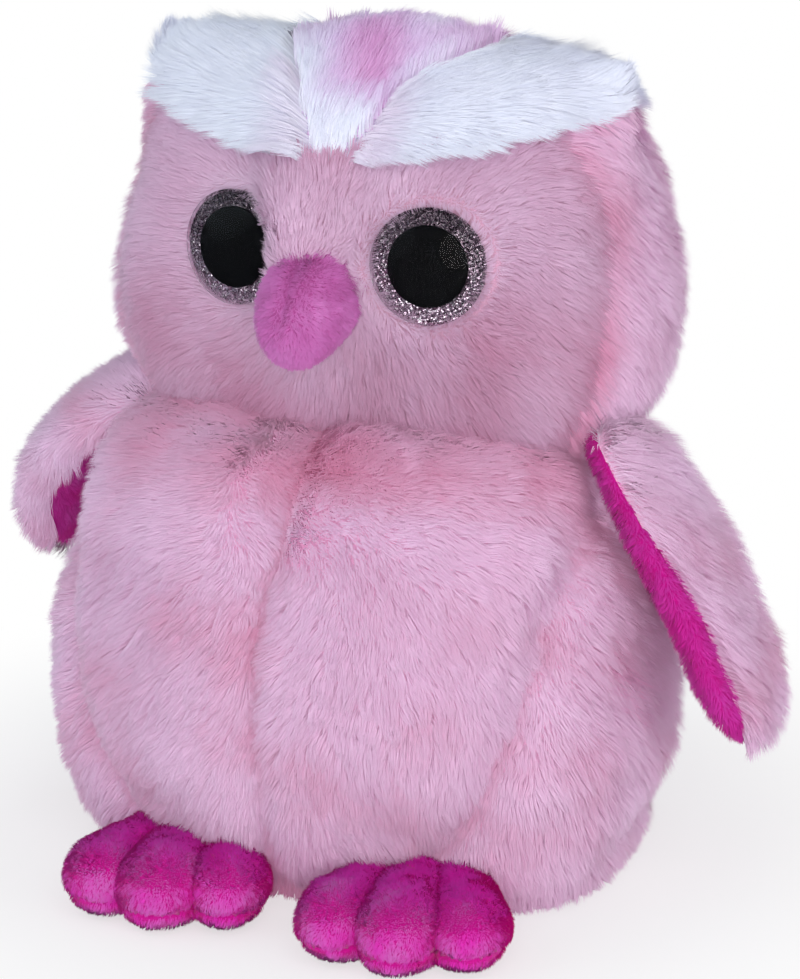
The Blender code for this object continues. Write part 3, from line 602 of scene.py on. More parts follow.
# %% Define the pile finish
def pile_finish(name, roots, tips, sheen=0.25, roughness=0.85, painted_glow=0.18):
    """Each of roots and tips gives the deep, the middle and the light colour of that end. A blade
    is opaque, so its lower part gets a painted glow, standing in for the share of light that a
    fibre would lead down into the pile's shade."""
    material, tree, shader = empty_finish(name, roughness, sheen, 0.25)
    place = added(tree, "UVMap", {"uv_map": "OFBake"}).outputs["UV"]
    along, tone = added(tree, "SeparateXYZ", at_0=place).outputs[:2]
    ends = []
    for colours in (roots, tips):
        stops = [(k / 2, srgb(*colour)) for k, colour in enumerate(colours)]
        ends.append(ramp(tree, stops, tone))
    rise = added(tree, "Math", {"operation": "POWER"}, at_0=along, at_1=0.8).outputs[0]
    colour = mixed(tree, rise, *ends)
    glow = mixed(tree, rise, colour, (0.0, 0.0, 0.0, 1.0))
    fed(shader, Base_Color=colour, Emission_Color=glow, Emission_Strength=painted_glow)
    return material


# Painted light: the pale, face and crown piles' roots are a little lighter than their tips, to lift
# the shade deep in the pile.
pale_pile = pile_finish(
    "pale_pile",
    ((222, 140, 178), (238, 199, 228), (244, 216, 242)),
    ((218, 138, 174), (231, 191, 221), (240, 210, 238)),
)
face_pile = pile_finish(
    "face_pile",
    ((200, 138, 170), (219, 180, 208), (230, 202, 226)),
    ((194, 130, 162), (213, 173, 202), (226, 196, 222)),
)
crown_pile = pile_finish(
    "crown_pile",
    ((224, 166, 216), (231, 206, 238), (238, 241, 252)),
    ((220, 160, 212), (227, 203, 236), (238, 242, 253)),
)
brow_pile = pile_finish(
    "brow_pile",
    ((228, 202, 228), (232, 233, 246), (238, 242, 253)),
    ((230, 206, 230), (232, 234, 247), (238, 243, 254)),
    sheen=0.3,
    roughness=0.7,
)
foot_pile = pile_finish(
    "foot_pile",
    ((238, 4, 176), (230, 46, 188), (216, 104, 194)),
    ((238, 6, 176), (224, 60, 188), (212, 136, 206)),
    sheen=0.03,
    painted_glow=0.15,
)
magenta_pile = pile_finish(
    "magenta_pile",
    ((214, 10, 150), (210, 44, 164), (208, 90, 180)),
    ((214, 12, 150), (206, 58, 168), (210, 116, 194)),
    sheen=0.08,
    painted_glow=0.10,
)
beak_pile = pile_finish(
    "beak_pile",
    ((190, 84, 160), (206, 108, 184), (216, 128, 200)),
    ((190, 88, 164), (208, 116, 190), (222, 144, 210)),
    sheen=0.15,
)
print("pile finishes:", [m.name for m in bpy.data.materials if m.name.endswith("_pile")])

# %% [markdown]
# ## Finishes for the backing cloth, the fibre and the pouch
#
# Under the pile is a knitted backing, which shows only between the strands. Its colour is painted
# a little deeper there as shade, and a painted glow stands in for the light that the fibres lead
# down to it. Its loops are two crossed sets of waves, whose hollows are painted deeper as shade.
# The stuffing is spun fibre with soft folds, and the pellets' bag is a plain weave.


# %% Define the cloth finishes
WAVE_PITCH = 0.314  # metres from crest to crest of a wave texture of scale 1


def cloth_finish(name, deep, light, pitch, strength=0.4, painted_glow=0.0):
    """Crossed waves for the loops or threads, whose hollows get the deep colour as painted shade,
    and a soft noise for wear. Under a pile, a painted glow stands in for the share of light that its
    translucent fibres lead down to the cloth."""
    deep, light = srgb(*deep), srgb(*light)
    material, tree, shader = empty_finish(name, 0.95, 0.2, 0.2)
    place = added(tree, "TexCoord").outputs["Object"]
    waves = [
        added(
            tree, "TexWave", {"bands_direction": direction},
            Vector=place, Scale=WAVE_PITCH / pitch, Distortion=1.5,
        ).outputs["Fac"]
        for direction in ("X", "Z")
    ]
    height = added(tree, "Math", {"operation": "MAXIMUM"}, at_0=waves[0], at_1=waves[1]).outputs[0]
    wear = added(tree, "TexNoise", Vector=place, Scale=60.0).outputs["Fac"]
    # Painted shade: where the waves are low, between the loops, the cloth takes the deep colour.
    colour = mixed(tree, height, deep, mixed(tree, wear, deep, light))
    bump = added(tree, "Bump", Strength=strength, Distance=0.3 * MM, Height=height)
    fed(shader, Base_Color=colour, Normal=bump.outputs["Normal"])
    fed(shader, Emission_Color=light, Emission_Strength=painted_glow)
    return material


KNIT, FINE_KNIT, SPUN, WOVEN = 0.9 * MM, 0.6 * MM, 2.4 * MM, 0.5 * MM
pale_backing = cloth_finish("pale_backing", (226, 166, 200), (236, 186, 218), KNIT, painted_glow=0.20)
face_backing = cloth_finish("face_backing", (214, 166, 192), (224, 182, 206), KNIT, painted_glow=0.06)
crown_backing = cloth_finish("crown_backing", (222, 176, 222), (230, 198, 234), KNIT, painted_glow=0.20)
brow_backing = cloth_finish("brow_backing", (206, 196, 220), (222, 216, 236), KNIT, painted_glow=0.20)
magenta_backing = cloth_finish(
    "magenta_backing", (196, 8, 138), (206, 24, 150), FINE_KNIT, painted_glow=0.10
)
beak_backing = cloth_finish(
    "beak_backing", (178, 76, 150), (198, 100, 172), FINE_KNIT, painted_glow=0.12
)
fibre = cloth_finish("spun_fibre", (226, 226, 222), (246, 246, 242), SPUN, 0.8)
pouch_cloth = cloth_finish("pouch_weave", (160, 160, 156), (196, 196, 192), WOVEN)

# %% [markdown]
# ## Seams
#
# The panels meet along seams: a deep U round the tummy with one seam down its middle, an oval
# underneath, a rounded face, two brow patches and the crown between them. Each is an outline in
# shares of the body or head, seen from the front, so a point's panel is found from its x and z.


# %% Define the panels' outlines
FAR_OFF = 1.0
PANEL_HEIGHT = 134 * MM
BODY_SHARES = (
    (0.0, 0.0), (0.0, 0.50), (0.0, 0.87), (0.03, 0.935), (0.10, 0.98), (0.22, 1.0), (0.35, 1.0),
    (0.48, 0.975), (0.60, 0.935), (0.71, 0.88), (0.81, 0.80), (0.90, 0.66), (0.97, 0.38), (1.0, 0.0),
)
BODY_FORM = Form(
    134.5 * MM, 87.5 * MM, 69 * MM, 67 * MM, BODY_SHARES, 2.25, (0.0, 0.0, -0.5 * MM), 15 * MM
)
TUMMY_HALF_SHARE, TUMMY_TOP_SHARE, TUMMY_LOW_SHARE, TUMMY_SQUARENESS = 0.76, 0.86, 0.06, 2.7
BASE_SHARE = 0.55
HEAD_SHARES = (
    (0.0, 0.0), (0.0, 0.30), (0.035, 0.56), (0.12, 0.76), (0.25, 0.915), (0.42, 1.0),
    (0.58, 0.985), (0.74, 0.90), (0.87, 0.72), (0.96, 0.46), (1.0, 0.22), (1.0, 0.0),
)
HEAD_FORM = Form(
    125 * MM, 77.5 * MM, 53 * MM, 56 * MM, HEAD_SHARES, 2.3, (3 * MM, 3 * MM, 100 * MM)
)
BROW_SHARES = (
    (0.035, 0.752), (0.25, 0.775), (0.50, 0.800), (0.84, 0.872), (1.25, 0.93),
    (1.25, 1.18), (0.72, 1.14), (0.50, 0.985), (0.30, 0.935), (0.15, 0.87),
)
CROWN_SHARES = (
    (-0.045, 0.752), (0.045, 0.752), (0.25, 0.85), (0.50, 0.905), (0.62, 0.96), (0.62, 1.16),
    (-0.62, 1.16), (-0.62, 0.96), (-0.50, 0.905), (-0.25, 0.85),
)
PATCH_BACK_SHARE = 0.25
FACE_ACROSS_SHARE, FACE_MIDDLE_SHARE, FACE_UP_SHARE = 0.84, 0.50, 0.58


def oval(across, up, squareness, middle=(0.0, 0.0), part=(0.0, 2 * math.pi), steps=40):
    """Points where |x / across|^n + |z / up|^n = 1, over a part of the turn."""
    turn = np.linspace(*part, steps)
    c, s = np.cos(turn), np.sin(turn)
    p = 2 / squareness
    x, z = np.sign(c) * np.abs(c) ** p, np.sign(s) * np.abs(s) ** p
    return np.stack([middle[0] + across * x, middle[1] + up * z], 1)


def in_head(shares):
    """x and z in metres of points given in shares of the head."""
    shares = np.array(shares, float)
    return shares * (HEAD_FORM.half_width, HEAD_FORM.height) + np.array(HEAD_FORM.base)[[0, 2]]


def head_shares(p):
    """Points' x and z in shares of the head."""
    x, z = p[:, 0] - HEAD_FORM.base[0], p[:, 2] - HEAD_FORM.base[2]
    return x / HEAD_FORM.half_width, z / HEAD_FORM.height


def inside(outline, spots):
    """True where a flat spot is inside the closed outline: a level line from it crosses the
    outline an odd number of times."""
    a, b = outline, np.roll(outline, -1, axis=0)
    x, z = spots[:, :1], spots[:, 1:]
    spans = (a[:, 1] > z) != (b[:, 1] > z)
    rise = np.where(a[:, 1] == b[:, 1], 1e-12, b[:, 1] - a[:, 1])
    return (spans & (x < a[:, 0] + (z - a[:, 1]) / rise * (b[:, 0] - a[:, 0]))).sum(1) % 2 == 1


def distance(line, spots, closed=True):
    """How far each flat spot is from the nearest place of a line."""
    a = line if closed else line[:-1]
    b = np.roll(line, -1, axis=0) if closed else line[1:]
    along = (b - a)[None]
    t = ((spots[:, None] - a) * along).sum(2) / np.maximum((along**2).sum(2), 1e-16)
    gap = spots[:, None] - a - t.clip(0, 1)[..., None] * along
    return np.sqrt((gap**2).sum(2)).min(1)


tummy_top, tummy_low = TUMMY_TOP_SHARE * PANEL_HEIGHT, TUMMY_LOW_SHARE * PANEL_HEIGHT
tummy_u = oval(
    TUMMY_HALF_SHARE * BODY_FORM.half_width,
    tummy_top - tummy_low,
    TUMMY_SQUARENESS,
    (0.0, tummy_top),
    (math.pi, 2 * math.pi),
)
over = tummy_u + (0.0, BODY_FORM.height)
tummy_outline = np.vstack([tummy_u, over[[-1, 0]]])
face_outline = oval(
    FACE_ACROSS_SHARE * HEAD_FORM.half_width,
    FACE_UP_SHARE * HEAD_FORM.height,
    2.0,
    in_head((0.0, FACE_MIDDLE_SHARE)),
)
crown_outline = in_head(CROWN_SHARES)
brow_outlines = {word: in_head(np.array(BROW_SHARES) * (side, 1)) for word, side in SIDES.items()}
print("outlines:", len(tummy_outline), "tummy,", len(face_outline), "face points")

# %% [markdown]
# ## Which panel, and how near a seam
#
# The outlines answer two questions about any point of the toy: which panel it belongs to, and how
# far it is from the nearest seam. Grooves, trimmed pile and deeper tones all read that distance, so
# they follow the same line. A seam of the front is put far off for points behind it.

# %% Find panels and distances
BASE_TOP = 3 * MM
BROW_SEAM_BACK = 10 * MM
FRONT_FADE = 20 * MM


def body_panel(p):
    """The panel under each point: 0 base, 1 and 2 tummy left and right, 3 and 4 back."""
    low = p[:, 2] < BASE_TOP
    reach = (p[:, 0] / (BASE_SHARE * BODY_FORM.half_width)) ** 2
    reach += (p[:, 1] / (BASE_SHARE * BODY_FORM.front)) ** 2
    front = inside(tummy_outline, p[:, [0, 2]]) & (p[:, 1] < -BODY_FORM.bow)
    right = p[:, 0] < 0
    return np.where(low & (reach < 1), 0, np.where(front, 1, 3) + right)


def head_panel(p):
    """The panel under each point: 0 face, 1 crown, 2 and 3 brows left and right, 4 and 5 back."""
    flat, right = p[:, [0, 2]], p[:, 0] < HEAD_FORM.base[0]
    ahead = p[:, 1] < PATCH_BACK_SHARE * HEAD_FORM.back
    brow = ahead & (inside(brow_outlines["left"], flat) | inside(brow_outlines["right"], flat))
    crown = ahead & inside(crown_outline, flat)
    face = inside(face_outline, flat) & (p[:, 1] < HEAD_FORM.base[1])
    return np.where(brow, 2 + right, np.where(crown, 1, np.where(face, 0, 4 + right)))


def body_seams(p):
    """Distances to the tummy's U seam and to the seam down the middle."""
    u_seam = distance(tummy_u, p[:, [0, 2]], closed=False)
    return u_seam + FAR_OFF * (p[:, 1] > -BODY_FORM.bow), np.abs(p[:, 0])


def near_seams(p, width, middle_share=1.0):
    """1 on a seam of the body's front, falling as a bell curve of the distance to it."""
    u_seam, middle = body_seams(p)
    bells = np.exp(-((u_seam / width) ** 2)), middle_share * np.exp(-((middle / width) ** 2))
    return np.maximum(*bells) * eased(-p[:, 1], 0, FRONT_FADE)


def head_seams(p):
    """Distance to the nearest of the head's seams: face, brows, and the middle of the back."""
    flat, behind_brows = p[:, [0, 2]], FAR_OFF * (p[:, 1] > BROW_SEAM_BACK)
    gaps = [distance(face_outline, flat) + FAR_OFF * (p[:, 1] > HEAD_FORM.base[1])]
    gaps += [distance(line, flat) + behind_brows for line in brow_outlines.values()]
    gaps.append(np.abs(p[:, 0] - HEAD_FORM.base[0]) + FAR_OFF * (head_panel(p) < 4))
    return np.min(gaps, axis=0)


# %% [markdown]
# ## The eyes' places
#
# Safety eyes sit in pressed seats, turned a little outward. Their places come from the frame: the
# middle of each glitter disc, and the direction that the solids were turned to.

# %% Find the eyes
EYE_RADIUS = 15 * MM
EYE_SPLAY, EYE_TILT = 9.0, 3.0
GLITTER_DEPTH = 3.9 * MM


def eye_place(word):
    """The eye's frame at the face, with local Z looking out."""
    low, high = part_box(f"eye_{word}_glitter")
    look = Matrix.Rotation(math.radians(SIDES[word] * EYE_SPLAY), 4, "Z")
    look @= Matrix.Rotation(math.radians(90 - EYE_TILT), 4, "X")
    spot = (low + high) / 2 + look.to_3x3() @ Vector((0, 0, GLITTER_DEPTH))
    return Matrix.Translation(spot) @ look


eyes = {word: eye_place(word) for word in SIDES}


def from_eye(word, points):
    """Distance from the eye's axis, and height along it."""
    x, y, z = placed(points, eyes[word].inverted()).T
    return np.hypot(x, y), z


print("eyes at", {w: [round(v / MM, 1) for v in m.translation] for w, m in eyes.items()})

# %% [markdown]
# ## The body's cover
#
# The cover is one surface worked on as a whole, so that neighbouring panels meet exactly, and cut
# into its panels at the end. It starts inside the solid, because the pile stands on top of it. The
# seams pull it in, the stuffing swells it between them, and the low hem bulges over the feet.

# %% Shape the body's cover
PILE_ROOM, BELOW_ROOM = 4.8 * MM, 0.8 * MM
BODY_RINGS, BODY_COLUMNS = 84, 168
SEAM_DEPTH, SEAM_SPREAD = 5.2 * MM, 5.5 * MM
CHEST_SWELL, CHEST_HEIGHT, CHEST_SPREAD, CHEST_LIFT = 4.5 * MM, 104 * MM, 15 * MM, 3.0 * MM
FOLD_DEPTH, FOLD_HEIGHT, FOLD_SPREAD, FOLD_SLOPE = 1.2 * MM, 24 * MM, 5 * MM, 0.16
TUCK_DEPTH = 9.5 * MM
FLOOR_GAP = 0.4 * MM


def pushed(points, faces, by):
    """Points moved along the surface's normals."""
    return points + normals_of(points, faces) * by[:, None]


def body_lumps(p):
    """How far the stuffing and seams move the cover: grooves along the seams as bell curves of
    their distance, and slow lumps between them."""
    front = eased(-p[:, 1], 0, 30 * MM)
    groove = -SEAM_DEPTH * near_seams(p, SEAM_SPREAD, 0.55)
    chest = CHEST_SWELL * front * np.exp(-(((p[:, 2] - CHEST_HEIGHT) / CHEST_SPREAD) ** 2))
    low_fold = np.abs(p[:, 2] - FOLD_HEIGHT - FOLD_SLOPE * np.abs(p[:, 0]))
    fold = -FOLD_DEPTH * np.exp(-((low_fold / FOLD_SPREAD) ** 2)) * front
    fold *= eased(np.abs(p[:, 0]), 12 * MM, 34 * MM)
    lumps = 1.1 * MM * drift(p, 62 * MM, 3) + 0.5 * MM * drift(p, 26 * MM, 4)
    return groove + chest + fold + lumps


points, body_faces = skin_of(BODY_FORM.drawn_in(PILE_ROOM, BELOW_ROOM), BODY_RINGS, BODY_COLUMNS)
off_floor = eased(points[:, 2], 2 * MM, 12 * MM)
body_points = pushed(points, body_faces, off_floor * body_lumps(points))
body_points[:, 2] = np.maximum(body_points[:, 2], FLOOR_GAP)
# The chest stands up full under the chin.
front = eased(-points[:, 1], 0, 30 * MM)
body_points[:, 2] += CHEST_LIFT * front * eased(points[:, 2], 94 * MM, 112 * MM)
# The seat draws in behind the left side, under a fold.
behind = eased(points[:, 0] + points[:, 1], 20 * MM, 80 * MM)
tuck = TUCK_DEPTH * behind * (1 - eased(points[:, 2], 14 * MM, 40 * MM))
body_points -= tuck[:, None] * unit(points * (1, 1, 0) + (1e-9, 0, 0))
print("body cover:", len(body_points), "points,", len(body_faces), "faces")

# %% [markdown]
# ## The head's cover
#
# The head is wider than it is tall. Its two ear points are drawn out of the same surface by a pull
# that fades with distance, so that brow, crown and back panels run into each tip. The seats of the
# eyes are pressed in, the bridge between them stands up, cheeks and jowls hang full, and the left
# side is a little slack beside the face.

# %% Shape the head's cover
HEAD_RINGS, HEAD_COLUMNS = 96, 176
EAR_REACH, EAR_HEART_HEIGHT = 34 * MM, 165 * MM
TIP_INSIDE, TIP_BELOW, TIP_DEPTH = {"left": 3.5 * MM, "right": 5.0 * MM}, 4.0 * MM, -7.6 * MM
SEAT_DEPTH, SEAT_BEHIND = 6.7 * MM, -30 * MM
HEAD_SEAM_DEPTH, HEAD_SEAM_SPREAD = 1.5 * MM, 3.8 * MM
BRIDGE_RISE, BROW_END_RISE, CHEEK_RISE = 3.0 * MM, 7.0 * MM, 1.6 * MM
JOWL_RIGHT, JOWL_LEFT, TEMPLE_SLACK = 3.0 * MM, 0.8 * MM, 1.8 * MM


def ear_tip(word):
    """The end of the ear point, a little inside the solid's."""
    low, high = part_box(f"brow_{word}")
    x = high.x - TIP_INSIDE[word] if SIDES[word] > 0 else low.x + TIP_INSIDE[word]
    return np.array([x, TIP_DEPTH, high.z - TIP_BELOW])


def with_ears(p):
    """A point at distance d from where an ear grows moves by the way to the tip, times
    (1 - d / reach) to the power 2.1."""
    heart = np.array([HEAD_FORM.base[0], 0.0, EAR_HEART_HEIGHT])
    moved = p.copy()
    for word in SIDES:
        tip = ear_tip(word)
        rays = unit(p - heart) @ unit(tip - heart)
        foot = p[np.argmax(rays)]
        far = np.linalg.norm(p - foot, axis=1)
        moved += ((1 - far / EAR_REACH).clip(0) ** 2.1)[:, None] * (tip - foot)
    return moved


def bell(x, z, middle, spread):
    """1 at a middle and falling all round: e to the minus (dx^2 + dz^2), in units of the spread."""
    return np.exp(-(((x - middle[0]) / spread[0]) ** 2) - ((z - middle[1]) / spread[1]) ** 2)


def head_lumps(p):
    """Grooves along the seams, the bridge between the eyes, cheeks, jowls, a slack temple, and slow
    lumps. Their places are shares of the head's half width and height."""
    x, z = head_shares(p)
    ahead = eased(-p[:, 1], 8 * MM, 34 * MM)
    shallow = 1 - 0.8 * eased(z, 0.76, 0.84) * ahead
    groove = -HEAD_SEAM_DEPTH * shallow * np.exp(-((head_seams(p) / HEAD_SEAM_SPREAD) ** 2))
    bridge = BRIDGE_RISE * (bell(x, z, (0.03, 0.60), (0.20, 0.19)) * ahead)
    bridge += BROW_END_RISE * (bell(x, z, (-0.09, 0.60), (0.13, 0.19)) * ahead)
    cheeks = sum(bell(x, z, at, (0.22, 0.15)) * ahead for at in ((0.62, 0.33), (-0.60, 0.33)))
    jowls = bell(np.abs(x), z, (0.95, 0.30), (0.35, 0.16)) * np.where(x < 0, JOWL_RIGHT, JOWL_LEFT)
    slack = -TEMPLE_SLACK * eased(x, 0.6, 0.95) * (1 - eased(np.abs(z - 0.55), 0.12, 0.35))
    lumps = 0.8 * MM * drift(p, 55 * MM, 7) + 0.4 * MM * drift(p, 22 * MM, 8)
    return groove + bridge + CHEEK_RISE * cheeks + jowls + slack + lumps


def over_eye(p):
    """1 on the bridge beside the right eye, whose pile falls over the eye's edge."""
    across = p[:, 0] - eyes["right"].translation.x
    high = 1 - eased(np.abs(p[:, 2] - eyes["right"].translation.z - 2 * MM), 7 * MM, 15 * MM)
    beside = eased(across, 9 * MM, 13 * MM) * (1 - eased(across, 22 * MM, 28 * MM))
    return beside * high * (p[:, 1] < 0)


def with_seats(p):
    """Inside an eye's rim the surface is brought down to the seat, and eased back outside it."""
    moved = p.copy()
    for word in SIDES:
        out, high = from_eye(word, moved)
        steep = over_eye(moved) if word == "right" else 0.0
        edge = EYE_RADIUS + (0.4 - 0.2 * steep) * MM
        near = (1 - eased(out, edge, edge + (2.6 - 1.4 * steep) * MM)) * (high > SEAT_BEHIND)
        drop = np.maximum(high + SEAT_DEPTH, 0) * near
        moved -= drop[:, None] * np.array(eyes[word].to_3x3().col[2])
    return moved


points, head_faces = skin_of(HEAD_FORM.drawn_in(PILE_ROOM, 2 * MM), HEAD_RINGS, HEAD_COLUMNS)
points = with_ears(pushed(points, head_faces, head_lumps(points)))
head_points = with_seats(points)
print("head cover:", len(head_points), "points,", len(head_faces), "faces")

# %% [markdown]
# ## Cutting the covers into panels
#
# Each face goes to the panel that its middle lies in. A panel gets the thickness of the cloth, its
# wall growing inwards, so every cover is a closed shell. Where the head sits on the body the cover
# is open, as a sewn neck is.


# %% Cut the panels
WALL, VELVET_WALL = 1.4 * MM, 0.9 * MM
NECK_HEIGHT, NECK_ROOM = 126 * MM, 1 * MM


def cover(name, points, faces, chosen, material, node, slot, body="owl", wall=WALL):
    """A panel with the cloth's thickness. Returns its skin for the pile to grow on."""
    normals = normals_of(points, faces)
    some, own, used = part_of(points, faces, chosen)
    obj = piece(name, mesh_of(name, some, own), material, body, slot, node)
    shell = obj.modifiers.new("cloth_thickness", "SOLIDIFY")
    shell.thickness, shell.offset = wall, -1.0
    return some, own, normals[used]


skins = {}
which = body_panel(middles(body_points, body_faces))
low_enough = middles(body_points, body_faces)[:, 2] < NECK_HEIGHT
for number, (name, node) in enumerate(
    (
        ("base_cover", "body_base"),
        ("tummy_cover_left", "body_tummy_left"),
        ("tummy_cover_right", "body_tummy_right"),
        ("back_cover_left", "body_back_left"),
        ("back_cover_right", "body_back_right"),
    )
):
    chosen = (which == number) & low_enough
    skins[name] = cover(
        name, body_points, body_faces, chosen, pale_backing, [node], "pale_plush"
    )

which = head_panel(middles(head_points, head_faces))
neck_form = BODY_FORM.drawn_in(PILE_ROOM - NECK_ROOM, NECK_ROOM)
sunk = neck_form.share_out(middles(head_points, head_faces)) < 1
for number, (name, node, material, slot) in enumerate(
    (
        ("face_cover", "head_face", face_backing, "face_plush"),
        ("crown_cover", "head_crown", crown_backing, "crown_plush"),
        ("brow_cover_left", "brow_left", brow_backing, "white_plush"),
        ("brow_cover_right", "brow_right", brow_backing, "white_plush"),
        ("nape_cover_left", "head_back_left", pale_backing, "pale_plush"),
        ("nape_cover_right", "head_back_right", pale_backing, "pale_plush"),
    )
):
    chosen = (which == number) & ~sunk
    skins[name] = cover(name, head_points, head_faces, chosen, material, [node], slot)
print("panels:", {name: len(skin[1]) for name, skin in skins.items()})

# %% [markdown]
# ## Pile on the body
#
# The nap runs down the body, parted a little by the middle seam, and lies flatter where the hand
# strokes it. Near the seams, under the chin and near the floor its colour is painted deeper as
# shade: at the seams one looks into the pile.

# %% Grow the body's pile
BODY_PILE = Pile(length=7.8 * MM, lean=38.0, clump=3.0 * MM, swirl=22.0, gather=0.38)
BACK_PILE = replace(BODY_PILE, density=2.9e6, width=0.34 * MM)
PARTING, PARTING_WIDTH = -14 * MM, 6 * MM
SEAM_SHADE_SPREAD = 3.5 * MM
PRESSED_FLAT = 1.5 * MM


def body_nap(p, up):
    """Down, spreading from the middle, with a slow sway. On the chest's upper edge it runs
    sideways from the middle seam, or one would look into it from the front."""
    way = np.zeros_like(p) + (0.0, 0.0, -1.0)
    way[:, 0] += 0.25 * np.tanh(p[:, 0] / (30 * MM)) + 0.35 * drift(p, 70 * MM, 11)
    way[:, 1] += 0.25 * drift(p, 60 * MM, 12)
    flat = eased(np.abs(up[:, 2]), 0.75, 0.97)[:, None]
    away = unit(p * (1, 1, 0)) * 1.2
    way = way * (1 - flat) + away * flat
    high = eased(p[:, 2], 90 * MM, 106 * MM) * eased(-p[:, 1], 0, 25 * MM)
    way[:, 0] += 2.4 * high * np.tanh((p[:, 0] - PARTING) / PARTING_WIDTH)
    return way


def body_tone(p):
    """Painted shade: deeper along the seams, under the chin and near the floor."""
    seam = -0.20 * near_seams(p, SEAM_SHADE_SPREAD)
    neck = -0.28 * eased(p[:, 2], 104 * MM, 118 * MM)
    low = -0.10 * (1 - eased(p[:, 2], 4 * MM, 26 * MM))
    return 0.52 + seam + neck + low + 0.10 * drift(p, 34 * MM, 13)


def body_scale(p):
    """Shorter where a seam draws the cloth in."""
    return 1 - 0.28 * near_seams(p, SEAM_SHADE_SPREAD, 0.8)


def above_floor(p):
    """Roots that aren't under the owl, where the pile is pressed flat."""
    return p[:, 2] > PRESSED_FLAT


for part, pile, seed in (("tummy", BODY_PILE, 21), ("back", BACK_PILE, 23)):
    for word, more in (("left", 0), ("right", 1)):
        grow(
            f"{part}_pile_{word}", skins[f"{part}_cover_{word}"], pile, body_nap, body_tone,
            pale_pile, slot="pale_plush", scale=body_scale, keep=above_floor, seed=seed + more,
        )

# %% [markdown]
# ## Pile on the head
#
# On the face the nap runs outwards from the beak. The pile is shorter round the eyes, where it is
# trimmed, and a deeper pink is airbrushed on the cheeks and under the beak. On the head's sides and
# back it runs outwards and down.

# %% Grow the head's pile
HEAD_PILE = Pile(length=8.2 * MM, lean=40.0, density=4.2e6, width=0.30 * MM, clump=2.9 * MM)
FACE_PILE = Pile(
    length=6.8 * MM, lean=42.0, density=6e6, width=0.24 * MM, clump=2.4 * MM, gather=0.3, swirl=18.0
)
BEAK_HEIGHT_SHARE = 0.497
beak_height = HEAD_FORM.base[2] + BEAK_HEIGHT_SHARE * HEAD_FORM.height
beak_spot = HEAD_FORM.front_point(HEAD_FORM.base[0], beak_height)
UNDER_BEAK = (13 * MM, 13 * MM)


def round_eyes(p, near, far):
    """1 at an eye's rim and 0 further off than far."""
    shares = [1 - eased(from_eye(w, p)[0], EYE_RADIUS + near, EYE_RADIUS + far) for w in SIDES]
    return np.max(shares, axis=0) * (p[:, 1] < 0)


def head_nap(p, up):
    """Away from the beak in front, outwards and down at the sides and back, off the eyes' rims."""
    out = p - np.array(beak_spot)
    away = unit(out * (1.0, 0.2, 1.0))
    from_middle = p[:, 0] - HEAD_FORM.base[0]
    side = np.zeros_like(p) + (0.0, 0.0, -1.1)
    side[:, 0] = np.tanh(from_middle / (25 * MM))
    ahead = eased(-p[:, 1], 0, 30 * MM)[:, None]
    way = away * ahead + side * (1 - ahead)
    way[:, 2] -= 0.45 * eased(np.abs(from_middle), 30 * MM, 62 * MM)
    for word in SIDES:
        centre = np.array(eyes[word].translation)
        far = from_eye(word, p)[0] - EYE_RADIUS
        near = (1 - eased(far, 3 * MM, 7 * MM)) * eased(far, 1.5 * MM, 3 * MM)
        if word == "right":
            near *= 1 - eased(p[:, 0] - centre[0], 2 * MM, 9 * MM)
        over = 2.5 * (1 - eased(far, 0.8 * MM, 2.2 * MM))
        way += ((1.2 * near - over) * (p[:, 1] < 0))[:, None] * unit(p - centre)
    way[:, 0] += 0.30 * drift(p, 50 * MM, 15)
    way[:, 2] += 0.30 * drift(p, 55 * MM, 16)
    return way


def face_scale(p):
    """Trimmed round the eyes and under the beak."""
    under = bell(p[:, 0], p[:, 2], (beak_spot.x, beak_spot.z), UNDER_BEAK)
    trim = 0.30 * round_eyes(p, 0.5 * MM, 7 * MM)
    return (1 - trim * (1 - over_eye(p)) + 0.3 * over_eye(p)) * (1 - 0.45 * under)


def face_lay(p):
    """Upright next to the eyes, but laid over the right eye's inner side."""
    over = over_eye(p)
    return 1 - 0.25 * round_eyes(p, 1 * MM, 5 * MM) * (1 - over) + 0.45 * over


def off_eyes(p):
    """Roots outside both eyes' rims."""
    clear = np.min([from_eye(w, p)[0] for w in SIDES], axis=0) > EYE_RADIUS + 0.1 * MM
    return clear | (p[:, 1] > 0)


def head_tone(p):
    """Deeper pink dyed on the cheeks and on the chin under the beak. Painted shade at the neck,
    where the head meets the body, and along the seams. Lighter round the eyes' rims.
    """
    x, z = head_shares(p)
    ahead = eased(-p[:, 1], 4 * MM, 26 * MM)
    spot = lambda middle, spread: bell(x, z, middle, spread) * ahead
    blush = 0.42 * (spot((0.62, 0.40), (0.26, 0.16)) + spot((-0.62, 0.36), (0.2, 0.16)))
    chin = 0.40 * spot((0.0, 0.22), (0.55, 0.14))
    # Painted shade at the neck and in the seams.
    neck = 0.34 * (1 - eased(z, 0.04, 0.18))
    seam = 0.22 * np.exp(-((head_seams(p) / (3.2 * MM)) ** 2))
    rim = 0.24 * round_eyes(p, 0.0, 4 * MM)
    return 0.60 - blush - chin - neck - seam + rim + 0.10 * drift(p, 30 * MM, 17)


for name, pile, finish, slot, seed in (
    ("face_cover", FACE_PILE, face_pile, "face_plush", 31),
    ("nape_cover_left", HEAD_PILE, pale_pile, "pale_plush", 32),
    ("nape_cover_right", HEAD_PILE, pale_pile, "pale_plush", 33),
):
    grow(
        name.replace("cover", "pile"), skins[name], pile, head_nap, head_tone, finish,
        slot=slot, scale=face_scale, lay=face_lay, keep=off_eyes, seed=seed,
    )

